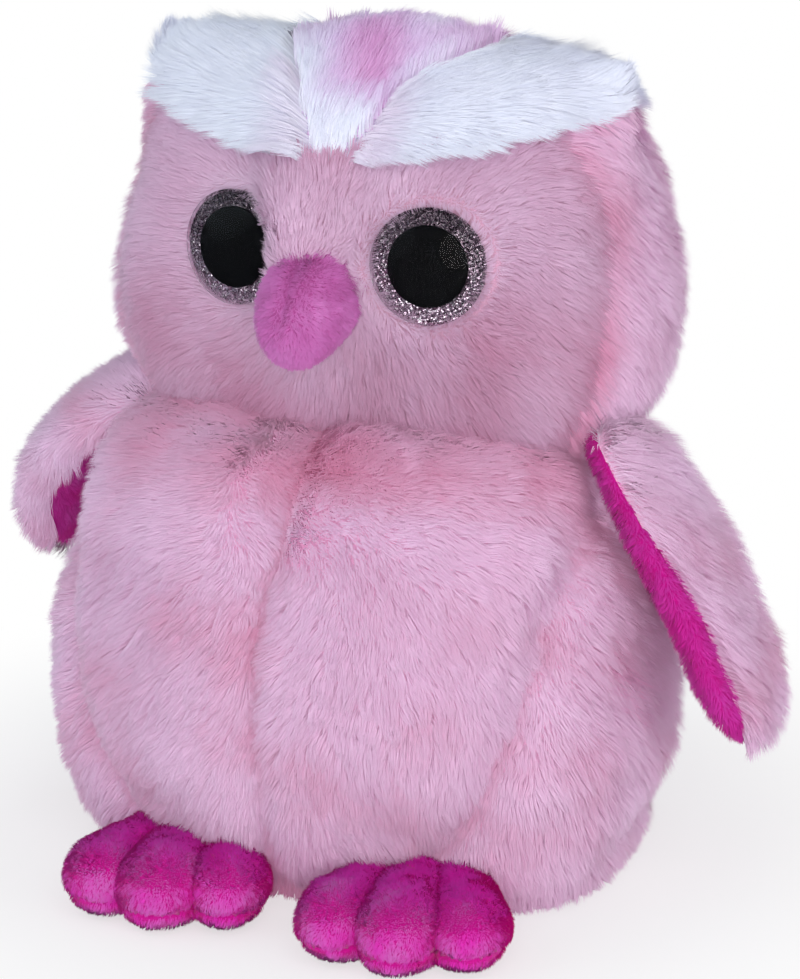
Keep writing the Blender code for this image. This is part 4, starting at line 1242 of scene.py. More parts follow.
# %% [markdown]
# ## Brows and crown
#
# The brows are cut from a long silky pile, combed outwards to the ear points so that their lower
# edges hang over the face. The crown between them is a shorter pile with streaks of stronger pink.
# Beside the seams both stand more upright, so that the piles close over them.

# %% Grow the brows and the crown
BROW_PILE = Pile(
    length=12.5 * MM, lean=60.0, width=0.22 * MM, density=7.5e6, clump=4.5 * MM, gather=0.25,
    swirl=7.0, mottle=0.25,
)
CROWN_PILE = Pile(length=8.5 * MM, lean=52.0, density=6e6, swirl=12.0, gather=0.3, mottle=0.4)
TIP_NEAR, TIP_FAR = 4 * MM, 24 * MM
BROW_LOWER_EDGE = np.array(BROW_SHARES[:5])


def tip_nearness(p):
    """1 at an ear point and 0 from 24 mm away."""
    gaps = [np.linalg.norm(p - ear_tip(word), axis=1) for word in SIDES]
    return np.max([1 - eased(gap, TIP_NEAR, TIP_FAR) for gap in gaps], axis=0)


def brow_nap(p, up):
    """Outwards along the brow, down over its lower edge and up towards its top and its tip."""
    x, z = head_shares(p)
    side, far, near_tip = np.sign(x), np.abs(x), tip_nearness(p)
    above = z - np.interp(far, *BROW_LOWER_EDGE.T)
    rise = -0.45 + 0.95 * eased(above, 0.0, 0.11) + np.where(x < 0, 1.5, 0.7) * near_tip
    return np.stack([side * (1 - np.where(x < 0, 0.75, 0.3) * near_tip), 0.1 + 0 * x, rise], 1)


def brow_scale(p):
    """Trimmed towards the ear points."""
    return 1 - 0.40 * tip_nearness(p)


def brow_tone(p):
    """Pinker where the brow starts between the eyes, whiter towards the tip."""
    far = eased(np.abs(p[:, 0] - HEAD_FORM.base[0]), 4 * MM, 26 * MM)
    return 0.30 + 0.35 * far + 0.08 * drift(p, 24 * MM, 18)


def crown_tone(p):
    """Streaks: the field varies quickly across and slowly from front to back. They fade to the
    brows' white at the lower point and along the seams."""
    streaks = drift(p * (1.0, 0.3, 0.5), 17 * MM, 19)
    tone = 0.50 + 0.30 * streaks + 0.10 * drift(p, 30 * MM, 20)
    pale = 1 - eased(head_shares(p)[1], 0.79, 0.90)
    pale = np.maximum(pale, 0.45 * np.exp(-((head_seams(p) / (4 * MM)) ** 2)))
    return tone + (0.97 - tone) * pale * eased(-p[:, 1], 0, 20 * MM)


def by_seam(p):
    """More upright beside a seam, so that the two piles close over it."""
    return 1 - 0.35 * np.exp(-((head_seams(p) / (3 * MM)) ** 2))


def crown_nap(p, up):
    """Up and back over the top, spreading a little, with a slow sway."""
    way = np.zeros_like(p) + (0.0, 0.8, 0.8)
    way[:, 0] = 0.25 * np.tanh((p[:, 0] - HEAD_FORM.base[0]) / (25 * MM))
    way[:, 0] += 0.25 * drift(p, 40 * MM, 14)
    return way


for word, seed in (("left", 41), ("right", 42)):
    grow(
        f"brow_pile_{word}", skins[f"brow_cover_{word}"], BROW_PILE, brow_nap, brow_tone,
        brow_pile, slot="white_plush", scale=brow_scale, lay=by_seam, seed=seed,
    )
grow(
    "crown_pile_top", skins["crown_cover"], CROWN_PILE, crown_nap, crown_tone, crown_pile,
    slot="crown_plush", lay=by_seam, seed=43,
)

# %% [markdown]
# ## The eyes
#
# Each eye is a clear moulded dome over a black disc and a disc of glitter film, so the glitter
# shows as a ring round the pupil. All are turned parts: a profile carried round an axis.


# %% Make the eyes
def turned(profile, place, columns=72):
    """A profile of (radius, height) carried round local Z: x = r cos t, y = r sin t."""
    profile = np.array(profile, float)
    inner = profile[1:-1]
    turn = 2 * math.pi * np.arange(columns) / columns
    x, y = inner[:, :1] * np.cos(turn), inner[:, :1] * np.sin(turn)
    rings = np.stack([x, y, np.broadcast_to(inner[:, 1:], x.shape)], -1).reshape(-1, 3)
    ends = np.array([[0.0, 0.0, profile[0, 1]], [0.0, 0.0, profile[-1, 1]]])
    return placed(np.vstack([rings, ends]), place), closed_grid(len(profile) - 1, columns)


def disc_profile(radius, low, high, bevel):
    """A disc with a rounded edge, a quarter turn of the bevel below and one above."""
    c, s = (bevel * f(np.linspace(0, math.pi / 2, 5)) for f in (np.cos, np.sin))
    lower = np.stack([radius - bevel + s, low + bevel - c], 1)
    upper = np.stack([radius - bevel + c, high - bevel + s], 1)
    inner = radius * DISC_INNER_SHARE
    return np.vstack([[(0.0, low), (inner, low)], lower, upper, [(inner, high), (0.0, high)]])


DISC_INNER_SHARE = 0.6
PUPIL_RADIUS, PUPIL_LOW, PUPIL_HIGH, PUPIL_BEVEL = 10.35 * MM, -3.3 * MM, -2.5 * MM, 0.3 * MM
GLITTER_GAP, GLITTER_LOW, GLITTER_HIGH, GLITTER_BEVEL = 0.35 * MM, -4.15 * MM, -3.62 * MM, 0.15 * MM
LENS_LOW, LENS_RIM, LENS_RISE, LENS_BEVEL = -3.3 * MM, 1.4 * MM, 5.2 * MM, 0.3 * MM
LENS_HOLLOW, LENS_FOOT, LENS_ROUND = 1.15 * MM, 0.7 * MM, 0.2 * MM


def lens_profile():
    """A hollow underside on a narrow foot, a short rim and a dome that is a piece of a sphere."""
    ball = (EYE_RADIUS**2 + LENS_RISE**2) / (2 * LENS_RISE)
    edge = math.asin(EYE_RADIUS / ball)
    top = LENS_LOW + LENS_RIM + LENS_RISE
    dome = [(ball * math.sin(t), top - ball * (1 - math.cos(t))) for t in np.linspace(edge, 0, 16)]
    low = LENS_LOW + LENS_HOLLOW
    inner = EYE_RADIUS - LENS_FOOT
    under = [(0.0, low), (inner - LENS_ROUND, low), (inner, low - LENS_ROUND)]
    foot = [(inner + 0.1 * MM, LENS_LOW), (EYE_RADIUS - LENS_BEVEL, LENS_LOW)]
    return under + foot + [(EYE_RADIUS, LENS_LOW + LENS_BEVEL)] + dome


# %% [markdown]
# ## Finishes for the eyes
#
# The dome is clear acrylic. Under it lie a dull black disc and a film of glitter: flakes of foil,
# each lying its own way, so that a few flash and the rest stay dark. A picture of glitter would
# look the same from every side, while flakes with directions of their own change as one moves.
# The flakes' colours also run from dark to bright as painted glints, and the ring's upper part is
# painted darker as the shade of the pile above it.


# %% Define the eyes' finishes
FLAKE = 0.32 * MM
FLAKE_TILT = 1.1


def glass_finish():
    """Clear acrylic, faintly uneven so that its highlights aren't razor sharp."""
    material, tree, shader = empty_finish("clear_acrylic", 0.03)
    place = added(tree, "TexCoord").outputs["Object"]
    noise = added(tree, "TexNoise", Vector=place, Scale=180.0).outputs["Fac"]
    bump = added(tree, "Bump", Strength=0.02, Distance=0.2 * MM, Height=noise)
    fed(shader, Base_Color=(0.97, 0.97, 0.98, 1.0), Transmission_Weight=1.0, IOR=1.12)
    fed(shader, Normal=bump.outputs["Normal"])
    return material


def glitter_finish():
    """Flakes are the cells of a Voronoi texture. Each is tilted its own way by its random colour,
    and the same colour paints it dark, rosy or bright: the tilts give real flashes, the dark and
    bright colours are painted glints. The upper part of the ring is painted darker, as the shade
    of the pile above the eye."""
    material, tree, shader = empty_finish("rose_glitter", 0.25)
    place = added(tree, "TexCoord").outputs["Object"]
    flakes = added(tree, "TexVoronoi", Vector=place, Scale=1 / FLAKE).outputs["Color"]
    chance = added(tree, "SeparateColor", at_0=flakes).outputs[0]
    flake_colours_and_glints = ramp(
        tree,
        [
            (0.0, srgb(100, 72, 92)), (0.3, srgb(160, 126, 148)), (0.6, srgb(210, 180, 200)),
            (0.85, srgb(232, 210, 228)), (1.0, srgb(255, 248, 255)),
        ],
        chance,
    )
    # Painted shade: the ring darkens towards its top, under the pile above the eye.
    height = added(tree, "SeparateXYZ", at_0=place).outputs["Z"]
    middle = eyes["left"].translation.z
    shaded = added(
        tree, "MapRange", Value=height, From_Min=middle - EYE_RADIUS, From_Max=middle + EYE_RADIUS,
        To_Min=0.0, To_Max=0.92,
    ).outputs[0]
    tilt = added(
        tree, "VectorMath", {"operation": "MULTIPLY_ADD"},
        at_0=flakes, at_1=3 * (FLAKE_TILT,), at_2=3 * (-FLAKE_TILT / 2,),
    ).outputs[0]
    plane = added(tree, "NewGeometry").outputs["Normal"]
    turned_way = added(tree, "VectorMath", {"operation": "ADD"}, at_0=plane, at_1=tilt).outputs[0]
    way = added(tree, "VectorMath", {"operation": "NORMALIZE"}, at_0=turned_way).outputs[0]
    fed(shader, Base_Color=mixed(tree, shaded, flake_colours_and_glints, srgb(48, 34, 44)), Metallic=0.7, Normal=way)
    return material


def plastic_finish(name, colour, roughness, specular=0.5):
    """Moulded plastic: a faint cloudiness in its gloss."""
    material, tree, shader = empty_finish(name, roughness, 0.0, specular)
    place = added(tree, "TexCoord").outputs["Object"]
    noise = added(tree, "TexNoise", Vector=place, Scale=400.0).outputs["Fac"]
    lighter = tuple(1.1 * c for c in colour[:3]) + (1.0,)
    rough = added(tree, "MapRange", Value=noise, To_Min=roughness * 0.8, To_Max=roughness * 1.3)
    fed(shader, Base_Color=mixed(tree, noise, colour, lighter), Roughness=rough.outputs[0])
    return material


clear_acrylic, rose_glitter = glass_finish(), glitter_finish()
black_plastic = plastic_finish("black_plastic", srgb(9, 9, 12), 0.5, specular=0.1)
cup_plastic = plastic_finish("cup_plastic", srgb(26, 26, 28), 0.45)
washer_plastic = plastic_finish("washer_plastic", srgb(232, 232, 226), 0.5)

# %% [markdown]
# ## Putting the eyes together
#
# The discs and the dome are turned in the eye's own frame, so all three line up. Each stands for
# its solid. The cup and the washer are plain moulded parts that hardly show, so their solids stay
# and only get a finish.

# %% Put the eyes in
glitter_disc = disc_profile(EYE_RADIUS - GLITTER_GAP, GLITTER_LOW, GLITTER_HIGH, GLITTER_BEVEL)
pupil_disc = disc_profile(PUPIL_RADIUS, PUPIL_LOW, PUPIL_HIGH, PUPIL_BEVEL)
for word in SIDES:
    for name, profile, material, slot in (
        ("glitter", glitter_disc, rose_glitter, "glitter_film"),
        ("pupil", pupil_disc, black_plastic, "black_plastic"),
        ("lens", lens_profile(), clear_acrylic, "clear_plastic"),
    ):
        points, faces = turned(profile, eyes[word])
        mesh = mesh_of(name, points, faces)
        piece(f"{name}_{word}", mesh, material, slot=slot, replaces=[f"eye_{word}_{name}"])
    for name, material in (("cup", cup_plastic), ("washer", washer_plastic)):
        solid = frame["nodes"][f"eye_{word}_{name}"].data
        solid.materials.clear()
        solid.materials.append(material)
print("lens:", len(lens_profile()), "rings high")

# %% [markdown]
# ## The beak
#
# The beak is a small stuffed egg of short velvet, pointing forward and a little down, with a seam
# over its middle that pinches the top.

# %% Make the beak
BEAK_SHARES = (
    (0.0, 0.0), (0.0, 0.55), (0.08, 0.90), (0.30, 1.0), (0.55, 0.95), (0.78, 0.74), (0.93, 0.42),
    (1.0, 0.0),
)
BEAK_FORM = Form(34 * MM, 14 * MM, 15 * MM, 15 * MM, BEAK_SHARES)
BEAK_DROOP, BEAK_SUNK, BEAK_RAISED = 14.0, 12 * MM, 1.2 * MM
BEAK_ROOM, HEAD_ROOM = 2.0 * MM, 6 * MM
PINCH_DEPTH, PINCH_SPREAD = 1.1 * MM, 1.6 * MM
beak_place = Matrix.Translation(beak_spot + Vector((0.0, BEAK_SUNK, BEAK_RAISED)))
beak_place @= Matrix.Rotation(math.radians(90 + BEAK_DROOP), 4, "X")


def beak_pinch(p):
    """The seam over the top presses a groove that fades towards the tip."""
    top = eased(p[:, 1], 0, 8 * MM)
    return -PINCH_DEPTH * np.exp(-((p[:, 0] / PINCH_SPREAD) ** 2)) * top


def drooped(p):
    """Narrower below, and sinking towards the tip."""
    slim = 0.98 - 0.26 * eased(-p[:, 1], 0, 12 * MM)
    sunk = 2.5 * MM * eased(p[:, 2], 14 * MM, 34 * MM)
    return np.stack([p[:, 0] * slim, p[:, 1] - sunk, p[:, 2]], 1)


points, faces = skin_of(BEAK_FORM.drawn_in(BEAK_ROOM), 30, 48)
points = placed(drooped(pushed(points, faces, beak_pinch(points))), beak_place)
shown = HEAD_FORM.drawn_in(HEAD_ROOM).share_out(middles(points, faces)) > 1
skins["beak_cover"] = cover(
    "beak_skin", points, faces, shown, beak_backing, ["beak_cover"], "beak_plush",
    wall=VELVET_WALL,
)
VELVET = Pile(
    length=2.1 * MM, lean=34.0, width=0.20 * MM, density=12e6, clump=1.4 * MM, gather=0.30,
    swirl=34.0, uneven=0.2,
)


def beak_nap(p, up):
    """Down the front and back underneath, spreading from the seam."""
    way = np.zeros_like(p) + (0.0, 0.3, -1.0)
    way[:, 0] = 0.5 * np.tanh((p[:, 0] - beak_spot.x) / (6 * MM))
    return way


def beak_tone(p):
    """Painted shade in the seam over the top, with slow random tone."""
    local = placed(p, beak_place.inverted())
    seam = 0.3 * np.exp(-((local[:, 0] / (1.0 * MM)) ** 2)) * eased(local[:, 1], 2 * MM, 9 * MM)
    return 0.52 - seam + 0.12 * drift(p, 9 * MM, 51)


grow(
    "beak_velvet", skins["beak_cover"], VELVET, beak_nap, beak_tone, beak_pile,
    slot="beak_plush", seed=51,
)

# %% [markdown]
# ## The wings
#
# A wing is a flat stuffed flap: long plush outside, magenta velvet inside. The velvet lining rolls
# round the front edge a little, which is why a strip of it shows from the front. Each wing rides on
# its own body, so it swings at the shoulder.

# %% Shape the wings
WING_SHARES = (
    (0.0, 0.0), (0.0, 0.36), (0.05, 0.64), (0.18, 0.88), (0.38, 1.0), (0.60, 0.98), (0.80, 0.84),
    (0.94, 0.55), (1.0, 0.28), (1.0, 0.0),
)
FULL_TIP_SHARES = ((0.60, 1.0), (0.80, 0.92), (0.93, 0.70), (1.0, 0.36), (1.0, 0.0))
FULL_WING_SHARES = WING_SHARES[:5] + FULL_TIP_SHARES
WING_LENGTH, WING_CHORD, WING_THICK, WING_SQUARENESS = 87.5 * MM, 25.5 * MM, 9.2 * MM, 2.3
WING_LONGER, CHORD_ROOM, OUTER_ROOM, INNER_ROOM = 1 * MM, 4.6 * MM, 3.6 * MM, 1.8 * MM
ABOVE_SHOULDER = 8.0 * MM
WING_BOW = {"left": 4 * MM, "right": 12 * MM}
WING_TWIST = {"left": 2.0, "right": -28.0}
WING_REST = {"left": 29.0, "right": 49.0}
WING_SWEEP = {"left": 2.0, "right": 39.0}
WING_SHIFT = {"left": Vector((4.5, 0.0, 2.5)) * MM, "right": Vector((2.0, 0.0, 1.0)) * MM}
hinges = {joint["child"]: Vector(joint["pos_m"]) for joint in frame["joints"]}


def wing_place(word):
    """The wing's frame: local Z runs to its tip, and local -Y faces away from the owl."""
    side = SIDES[word]
    turn = lambda degrees, axis: Matrix.Rotation(math.radians(degrees), 4, axis)
    hang = turn(side * WING_SWEEP[word], "Z") @ turn(-side * WING_REST[word], "Y")
    face = turn(side * (90 + WING_TWIST[word]), "Z") @ turn(180, "X") @ turn(180, "Z")
    return Matrix.Translation(hinges[f"wing_{word}"] + WING_SHIFT[word]) @ hang @ face


def wing_form(word):
    """The cover's form, inside the solid by the room that the pile takes on each side."""
    return Form(
        WING_LENGTH + WING_LONGER, WING_CHORD - CHORD_ROOM, WING_THICK - OUTER_ROOM,
        WING_THICK - INNER_ROOM, FULL_WING_SHARES, WING_SQUARENESS, (0.0, 0.0, -ABOVE_SHOULDER),
        WING_BOW[word],
    )


def is_outer(word, form, spots):
    """True where the plush is. On the left wing the lining rolls over the front edge, more so
    towards the tip. On the right one the plush is turned in over the front edge and the tip."""
    up = (spots[:, 2] - form.base[2]) / form.height
    middle = -4 * WING_BOW[word] * up * (1 - up)
    if word == "left":
        roll = (1.0 + 3.2 * eased(up, 0.1, 0.7)) * MM * eased(spots[:, 0], 8 * MM, 20 * MM)
        return spots[:, 1] < middle - roll
    ups, rings, _ = form.profile()
    ring = np.interp(up, np.maximum.accumulate(ups), rings).clip(0.01)
    across = -spots[:, 0] / (form.half_width * ring)
    return (spots[:, 1] < middle) | (across > 0.90) | (up > 0.97)


print("wings hang from", {name: [round(v / MM, 1) for v in spot] for name, spot in hinges.items()})

# %% [markdown]
# ## The wings' cloth
#
# One skin serves both faces of a wing, so plush and velvet meet in one seam. The pile's nap runs to
# the wing's tip, which is how such a flap is cut: stroked from the shoulder down it lies smooth.

# %% Cover the wings and grow their pile
WING_PILE = Pile(length=8.2 * MM, lean=46.0, clump=3.0 * MM, settle=0.0)
LINING_PILE = replace(VELVET, length=2.6 * MM, density=4.8e6, width=0.28 * MM, clump=1.8 * MM)
WING_WALL = 1.0 * MM


def wing_tone(p):
    """Even, with slow patches."""
    return 0.55 + 0.12 * drift(p, 30 * MM, 64)


def lining_tone(p):
    """Velvet stroked this way and that, in smaller patches."""
    return 0.40 + 0.16 * drift(p, 16 * MM, 65)


for word in SIDES:
    place, form, body = wing_place(word), wing_form(word), f"wing_{word}"
    local, faces = skin_of(form, 56, 72)
    local = pushed(local, faces, 0.5 * MM * drift(local, 24 * MM, 61) - 0.3 * MM)
    points = placed(local, place)
    outer = is_outer(word, form, middles(local, faces))
    tip = np.array(place.to_3x3().col[2])

    def wing_nap(p, up, tip=tip):
        """Down the wing to its tip, with a slow sway."""
        way = tip + np.zeros_like(p) + (0.0, 0.0, -0.25)
        way[:, 0] += 0.25 * drift(p, 40 * MM, 62)
        way[:, 1] += 0.25 * drift(p, 44 * MM, 63)
        return way

    top = cover(
        f"wing_cover_{word}", points, faces, outer, pale_backing,
        [f"wing_{word}_outer"], "pale_plush", body, WING_WALL,
    )
    under = cover(
        f"wing_underside_{word}", points, faces, ~outer, magenta_backing,
        [f"wing_{word}_lining"], "magenta_plush", body, WING_WALL,
    )
    grow(
        f"wing_pile_{word}", top, WING_PILE, wing_nap, wing_tone, pale_pile,
        body, "pale_plush", seed=61 + len(word),
    )
    grow(
        f"wing_velvet_{word}", under, LINING_PILE, wing_nap, lining_tone, magenta_pile,
        body, "magenta_plush", seed=71 + len(word),
    )

# %% [markdown]
# ## The feet
#
# Three stuffed toes fan out from each heel. They press against each other, so deep creases part
# them, and one seam runs low round their fronts where the sole is sewn on.

# %% Shape the toes
TOE_SHARES = (
    (0.0, 0.0), (0.0, 0.40), (0.06, 0.66), (0.25, 0.82), (0.55, 0.94), (0.76, 1.0), (0.90, 0.80),
    (0.98, 0.42), (1.0, 0.0),
)
TOE_LENGTH, TOE_WIDE, TOE_HIGH = 55 * MM, 12 * MM, 10.8 * MM
TOE_BELOW, TOE_FAN, TOE_ROLL, TOE_STAGGER, MIDDLE_SCALE = 1.2 * MM, 16.0, 9.0, 4 * MM, 1.10
FOOT_ACROSS = {"left": 33 * MM, "right": -31 * MM}
FOOT_TURN = {"left": 15.0, "right": 10.0}
HEEL_FORWARD = 43 * MM
SOLE_SEAM, SOLE_SEAM_DEPTH, SOLE_SEAM_SPREAD = 6.4 * MM, 1.0 * MM, 1.0 * MM
TOE_IN = 1.1 * MM
SOLE_HEIGHT = 0.9 * MM


def toe_places(word):
    """Each toe's form and frame, the middle one first."""
    heel = Vector((FOOT_ACROSS[word], -HEEL_FORWARD, TOE_HIGH - TOE_BELOW))
    for lean, scale in ((0, MIDDLE_SCALE), (-1, 1.0), (1, 1.0)):
        high = TOE_HIGH * scale
        form = Form(TOE_LENGTH * scale, TOE_WIDE * scale, high, high, TOE_SHARES)
        aim = Matrix.Rotation(math.radians(FOOT_TURN[word] + lean * TOE_FAN), 4, "Z")
        step = Matrix.Translation((lean * TOE_STAGGER, -abs(lean) * TOE_STAGGER, 0.0))
        lie = Matrix.Rotation(math.radians(90), 4, "X")
        lie @= Matrix.Rotation(math.radians(lean * TOE_ROLL), 4, "Z")
        yield form.drawn_in(TOE_IN), Matrix.Translation(heel) @ aim @ step @ lie


def toe_skin(form, place):
    """One toe: pressed flat on the floor, with the sole's seam pulled in."""
    points, faces = skin_of(form, 34, 40)
    points = placed(points, place)
    seam = -SOLE_SEAM_DEPTH * np.exp(-(((points[:, 2] - SOLE_SEAM) / SOLE_SEAM_SPREAD) ** 2))
    points = pushed(points, faces, seam + 0.25 * MM * drift(points, 12 * MM, 81))
    points[:, 2] = np.maximum(points[:, 2], SOLE_HEIGHT)
    return points, faces


def joined(skins):
    """Several skins as one set of points and faces."""
    starts = np.cumsum([0] + [len(p) for p, _ in skins[:-1]])
    faces = [np.where(f < 0, -1, f + s) for (_, f), s in zip(skins, starts)]
    return np.vstack([p for p, _ in skins]), np.vstack(faces)


# %% [markdown]
# ## The feet's cloth
#
# The three toes' skins are joined, and what lies inside the body or inside another toe is left
# out. The seam parts the joined skin into the upper, with dense velvet, and the sole, with less.

# %% Cover the feet and grow their velvet
FOOT_PILE = replace(
    VELVET, length=1.5 * MM, lean=44.0, density=9e6, width=0.26 * MM, settle=-0.35
)
SOLE_PILE = replace(FOOT_PILE, density=4.5e6)
PRESSED_VELVET = 1.2 * MM


def foot_skin(toes):
    """The toes' skins as one, without what lies inside the body or inside another toe."""
    parts = []
    for k, (form, place) in enumerate(toes):
        points, faces = toe_skin(form, place)
        spots = middles(points, faces)
        clear = BODY_FORM.drawn_in(PILE_ROOM + 2 * MM).share_out(spots) > 1
        for other, there in toes[:k] + toes[k + 1 :]:
            clear &= other.drawn_in(0.8 * MM).share_out(placed(spots, there.inverted())) > 1
        parts.append(part_of(points, faces, clear)[:2])
    return joined(parts)


def foot_nap(p, up):
    """Forwards over the toes and down their fronts."""
    return np.zeros_like(p) + (0.15, -1.0, -0.7)


for word in SIDES:
    toes = list(toe_places(word))
    points, faces = foot_skin(toes)
    low = middles(points, faces)[:, 2] <= SOLE_SEAM

    def clear_of_toes(p, toes=toes):
        """Roots on the outside of the foot, above the floor."""
        held = p[:, 2] > PRESSED_VELVET
        for form, place in toes:
            held &= form.drawn_in(0.5 * MM).share_out(placed(p, place.inverted())) > 1
        return held & (BODY_FORM.drawn_in(PILE_ROOM).share_out(p) > 1)

    def foot_tone(p, toes=toes):
        """Painted shade in the creases, along the sole's seam and on top, and painted light on the
        toes' fronts, where the velvet's nap catches it.
        """
        gaps = [form.share_out(placed(p, place.inverted())) for form, place in toes]
        crease = np.exp(-(((np.sort(gaps, axis=0)[1] - 1) / 0.08) ** 2))
        ahead = eased(-p[:, 1], 70 * MM, 98 * MM)
        seam = np.exp(-(((p[:, 2] - SOLE_SEAM) / (1.2 * MM)) ** 2))
        return 0.22 + 0.46 * ahead - 0.25 * crease - 0.2 * seam + 0.10 * drift(p, 10 * MM, 82)

    parts = []
    for name, chosen, node in (("cover", ~low, "upper"), ("base", low, "sole")):
        parts.append(
            cover(
                f"foot_{name}_{word}", points, faces, chosen, magenta_backing,
                [f"foot_{word}_{node}"], "magenta_plush", wall=VELVET_WALL,
            )
        )
    for name, skin, pile, seed in (
        ("velvet", parts[0], FOOT_PILE, 91), ("base_velvet", parts[1], SOLE_PILE, 92)
    ):
        grow(
            f"foot_{name}_{word}", skin, pile, foot_nap, foot_tone, foot_pile,
            slot="magenta_plush", keep=clear_of_toes, seed=seed + len(word),
        )

# %% [markdown]
# ## What is inside
#
# Spun fibre fills the head, body, beak, wings and feet, and a flat bag of pellets weights the seat.
# None of it shows, but it is there, a little smaller than the cover round it and lumpy.


# %% Make the stuffing
def stuffing(
    name, form, place, node, body="owl", rings=14, columns=20, depth=7 * MM, lump=0.2 * MM,
    droop=False,
):
    """A form drawn in by a depth, with soft lumps, as a piece of fibre."""
    points, faces = skin_of(form.drawn_in(depth), rings, columns)
    points = pushed(points, faces, lump * drift(points, 14 * MM, len(name)))
    points = placed(drooped(points) if droop else points, place)
    obj = piece(name, mesh_of(name, points, faces), fibre, body, "polyester_fibre", [node])
    return obj


level = Matrix.Identity(4)
body_room = replace(BODY_FORM, base=(0, 0, 18 * MM), height=112 * MM)
head_room = replace(
    HEAD_FORM, front=HEAD_FORM.front - 12 * MM, base=(3 * MM, 8 * MM, 116 * MM), height=106 * MM
)
beak_room = replace(BEAK_FORM, base=(0, 0, 11 * MM), height=20 * MM)
for name, form, depth in (("body", body_room, 13 * MM), ("head", head_room, 11 * MM)):
    stuffing(
        f"{name}_stuffing", form, level, f"{name}_filling",
        rings=24, columns=36, depth=depth, lump=0.8 * MM,
    )
stuffing(
    "beak_stuffing", beak_room, beak_place, "beak_filling", rings=12, depth=4.2 * MM, droop=True
)
for word in SIDES:
    flap = Form(
        WING_LENGTH, WING_CHORD, WING_THICK, WING_THICK, WING_SHARES, WING_SQUARENESS,
        bow=WING_BOW[word],
    )
    stuffing(
        f"wing_stuffing_{word}", flap, wing_place(word), f"wing_{word}_filling", f"wing_{word}",
        20, 28, 6.6 * MM,
    )
    form, place = next(toe_places(word))
    inner = replace(form, base=(0, 0, 16 * MM), height=TOE_LENGTH - 20 * MM)
    stuffing(f"foot_stuffing_{word}", inner, place, f"foot_{word}_filling", depth=3 * MM)

# %% [markdown]
# ## The bag of pellets
#
# A low round bag sits in the seat. Its lumps are as small as the pellets and leave its underside
# flat, because it rests there.

# %% Make the bag of pellets
BAG_SHARES = (
    (0.0, 0.0), (0.0, 0.55), (0.0, 0.84), (0.22, 1.0), (0.60, 0.95), (0.90, 0.62), (1.0, 0.25),
    (1.0, 0.0),
)
BAG_ROOM, PELLET_LUMP, PELLET = 0.6 * MM, 0.35 * MM, 4 * MM
low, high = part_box("pellet_pouch")
bag_radius = (high.x - low.x) / 2
BAG_FORM = Form(high.z - low.z, *3 * [bag_radius], BAG_SHARES, base=(0.0, 0.0, low.z))
points, faces = skin_of(BAG_FORM.drawn_in(BAG_ROOM), 24, 48)
lumps = PELLET_LUMP * drift(points, PELLET, 95) * eased(points[:, 2], 5 * MM, 9 * MM)
bag_mesh = mesh_of("pellet_bag", pushed(points, faces, lumps), faces)
bag = piece("pellet_bag", bag_mesh, pouch_cloth, slot="pouch_cloth", replaces=["pellet_pouch"])
print("bag of pellets, radius in mm:", round(bag_radius / MM, 1))

# %% [markdown]
# ## Light
#
# Big soft lamps light the owl about evenly, as in a white tent: a key above and to the camera's
# right, a cool one to the left, weaker ones low in front, at the right and behind. The eyes are
# like mirrors, and a lamp shows in them as a spot, so only the cool lamp and the one behind are
# mirrored, which leaves the one soft gleam that real eyes have.


# %% Set the lamps
def area_lamp(name, place, size, watts, colour=(1.0, 1.0, 1.0), mirrored=True):
    """A round soft lamp that looks at the owl's lower middle."""
    data = bpy.data.lights.new(name, "AREA")
    data.shape, data.size, data.energy, data.color = "DISK", size, watts, colour
    lamp = bpy.data.objects.new(name, data)
    bpy.context.scene.collection.objects.link(lamp)
    lamp.location = place
    lamp.rotation_mode = "QUATERNION"
    lamp.rotation_quaternion = (LIT_SPOT - Vector(place)).to_track_quat("-Z", "Y")
    lamp.visible_glossy = mirrored


LIT_SPOT = Vector((0, 0, 0.1))
area_lamp("key", (0.8, -1.2, 1.4), 1.6, 8.6, (1.0, 0.985, 0.97), mirrored=False)
area_lamp("cool_side", (-1.2, -1.0, 0.9), 1.8, 7.4, (0.78, 0.95, 1.0))
area_lamp("right_side", (1.5, -0.3, 0.35), 1.0, 4.6, mirrored=False)
area_lamp("behind", (0.6, 1.2, 1.0), 1.2, 4.5)
area_lamp("front_fill", (0.5, -1.3, 0.30), 0.8, 7.0, (1.0, 0.99, 0.98), mirrored=False)
lamps = [thing.name for thing in bpy.data.objects if thing.type == "LIGHT"]
print("lamps:", lamps)

# %% [markdown]
# ## Floor
#
# The owl stands on a plain pale floor that keeps its shadow and fades to white further off, so no
# edge shows against the white behind. Only the camera sees that fade. In the eyes the floor is
# darker, as a room would be.

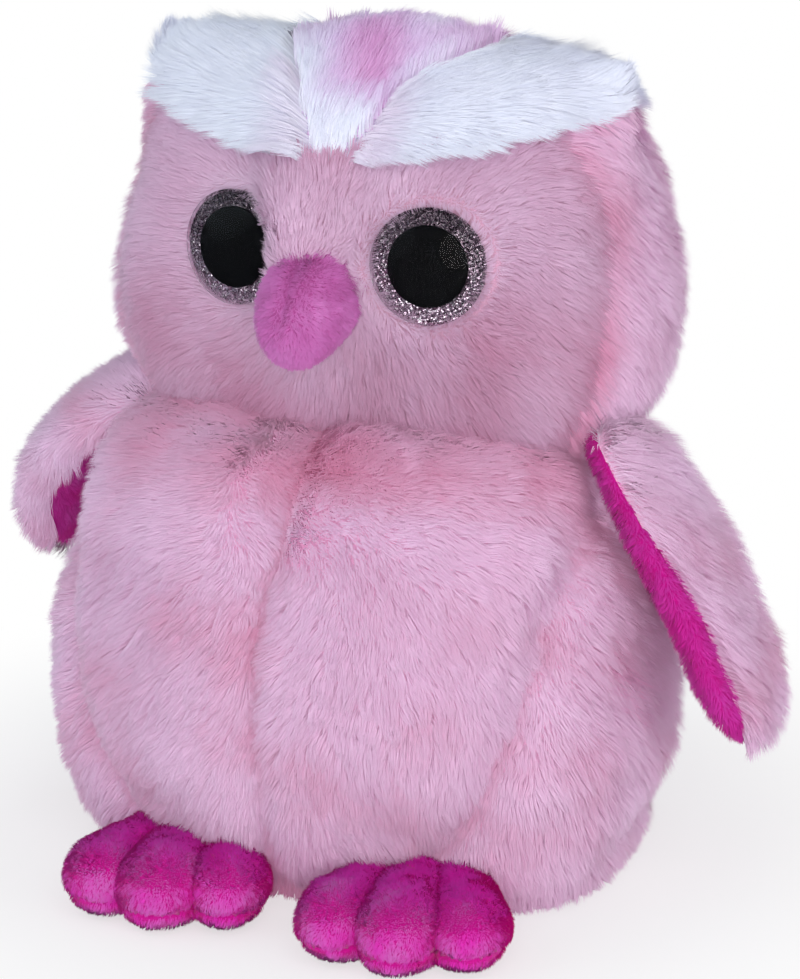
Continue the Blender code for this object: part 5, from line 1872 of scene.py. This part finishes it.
# %% Lay the floor
FLOOR_HALF = 3.0
FADE_FROM, FADE_TO, LEAST_WHITE = 0.09, 0.20, 0.62
corners = FLOOR_HALF * np.array([[-1, -1, 0], [1, -1, 0], [1, 1, 0], [-1, 1, 0]], float)
floor_mesh = mesh_of("floor", corners, np.array([[0, 1, 2, 3]]))
floor = bpy.data.objects.new("floor", floor_mesh)
bpy.context.scene.collection.objects.link(floor)
floor_finish, tree, shader = empty_finish("pale_floor", 0.9, 0.0, 0.1)
ray = added(tree, "LightPath").outputs
shade = mixed(tree, ray["Is Glossy Ray"], srgb(253, 253, 254), srgb(90, 92, 98))
fed(shader, Base_Color=shade)
place = added(tree, "TexCoord").outputs["Object"]
away = added(tree, "VectorMath", {"operation": "LENGTH"}, at_0=place).outputs["Value"]
fade = added(
    tree, "MapRange", {"interpolation_type": "SMOOTHSTEP"},
    Value=away, From_Min=FADE_FROM, From_Max=FADE_TO, To_Min=LEAST_WHITE,
).outputs[0]
only_seen = added(
    tree, "Math", {"operation": "MULTIPLY"}, at_0=fade, at_1=ray["Is Camera Ray"]
).outputs[0]
white = added(tree, "Emission").outputs[0]
both = added(tree, "MixShader", at_0=only_seen, at_1=shader.outputs[0], at_2=white).outputs[0]
fed(tree.nodes["Material Output"], Surface=both)
floor_mesh.materials.append(floor_finish)
print("floor fades to white from", FADE_FROM, "to", FADE_TO, "m")

# %% [markdown]
# ## Room
#
# Pale light comes from all round, a little cool. The camera sees plain white behind the owl, and
# the eyes mirror a dim room.

# %% Set the room
ROOM_LIGHT = 0.43
world = bpy.data.worlds.new("pale_room")
bpy.context.scene.world = world
world.use_nodes = True
tree = world.node_tree
seen = added(tree, "LightPath").outputs
room_colour = mixed(tree, seen["Is Glossy Ray"], (0.86, 0.89, 0.94, 1.0), (0.22, 0.24, 0.28, 1.0))
room = fed(tree.nodes["Background"], Strength=ROOM_LIGHT, Color=room_colour).outputs[0]
plain = added(tree, "Background", Color=(1.0, 1.0, 1.0, 1.0)).outputs[0]
choice = added(tree, "MixShader", at_0=seen["Is Camera Ray"], at_1=room, at_2=plain).outputs[0]
fed(tree.nodes["World Output"], Surface=choice)
bpy.context.scene.view_settings.view_transform = "Standard"
print("room light:", ROOM_LIGHT)

# %% [markdown]
# ## Finish
#
# The last cell prints how many faces the pile has in all.

# %% Finish
print("pile faces in all:", sum(grown.values()))
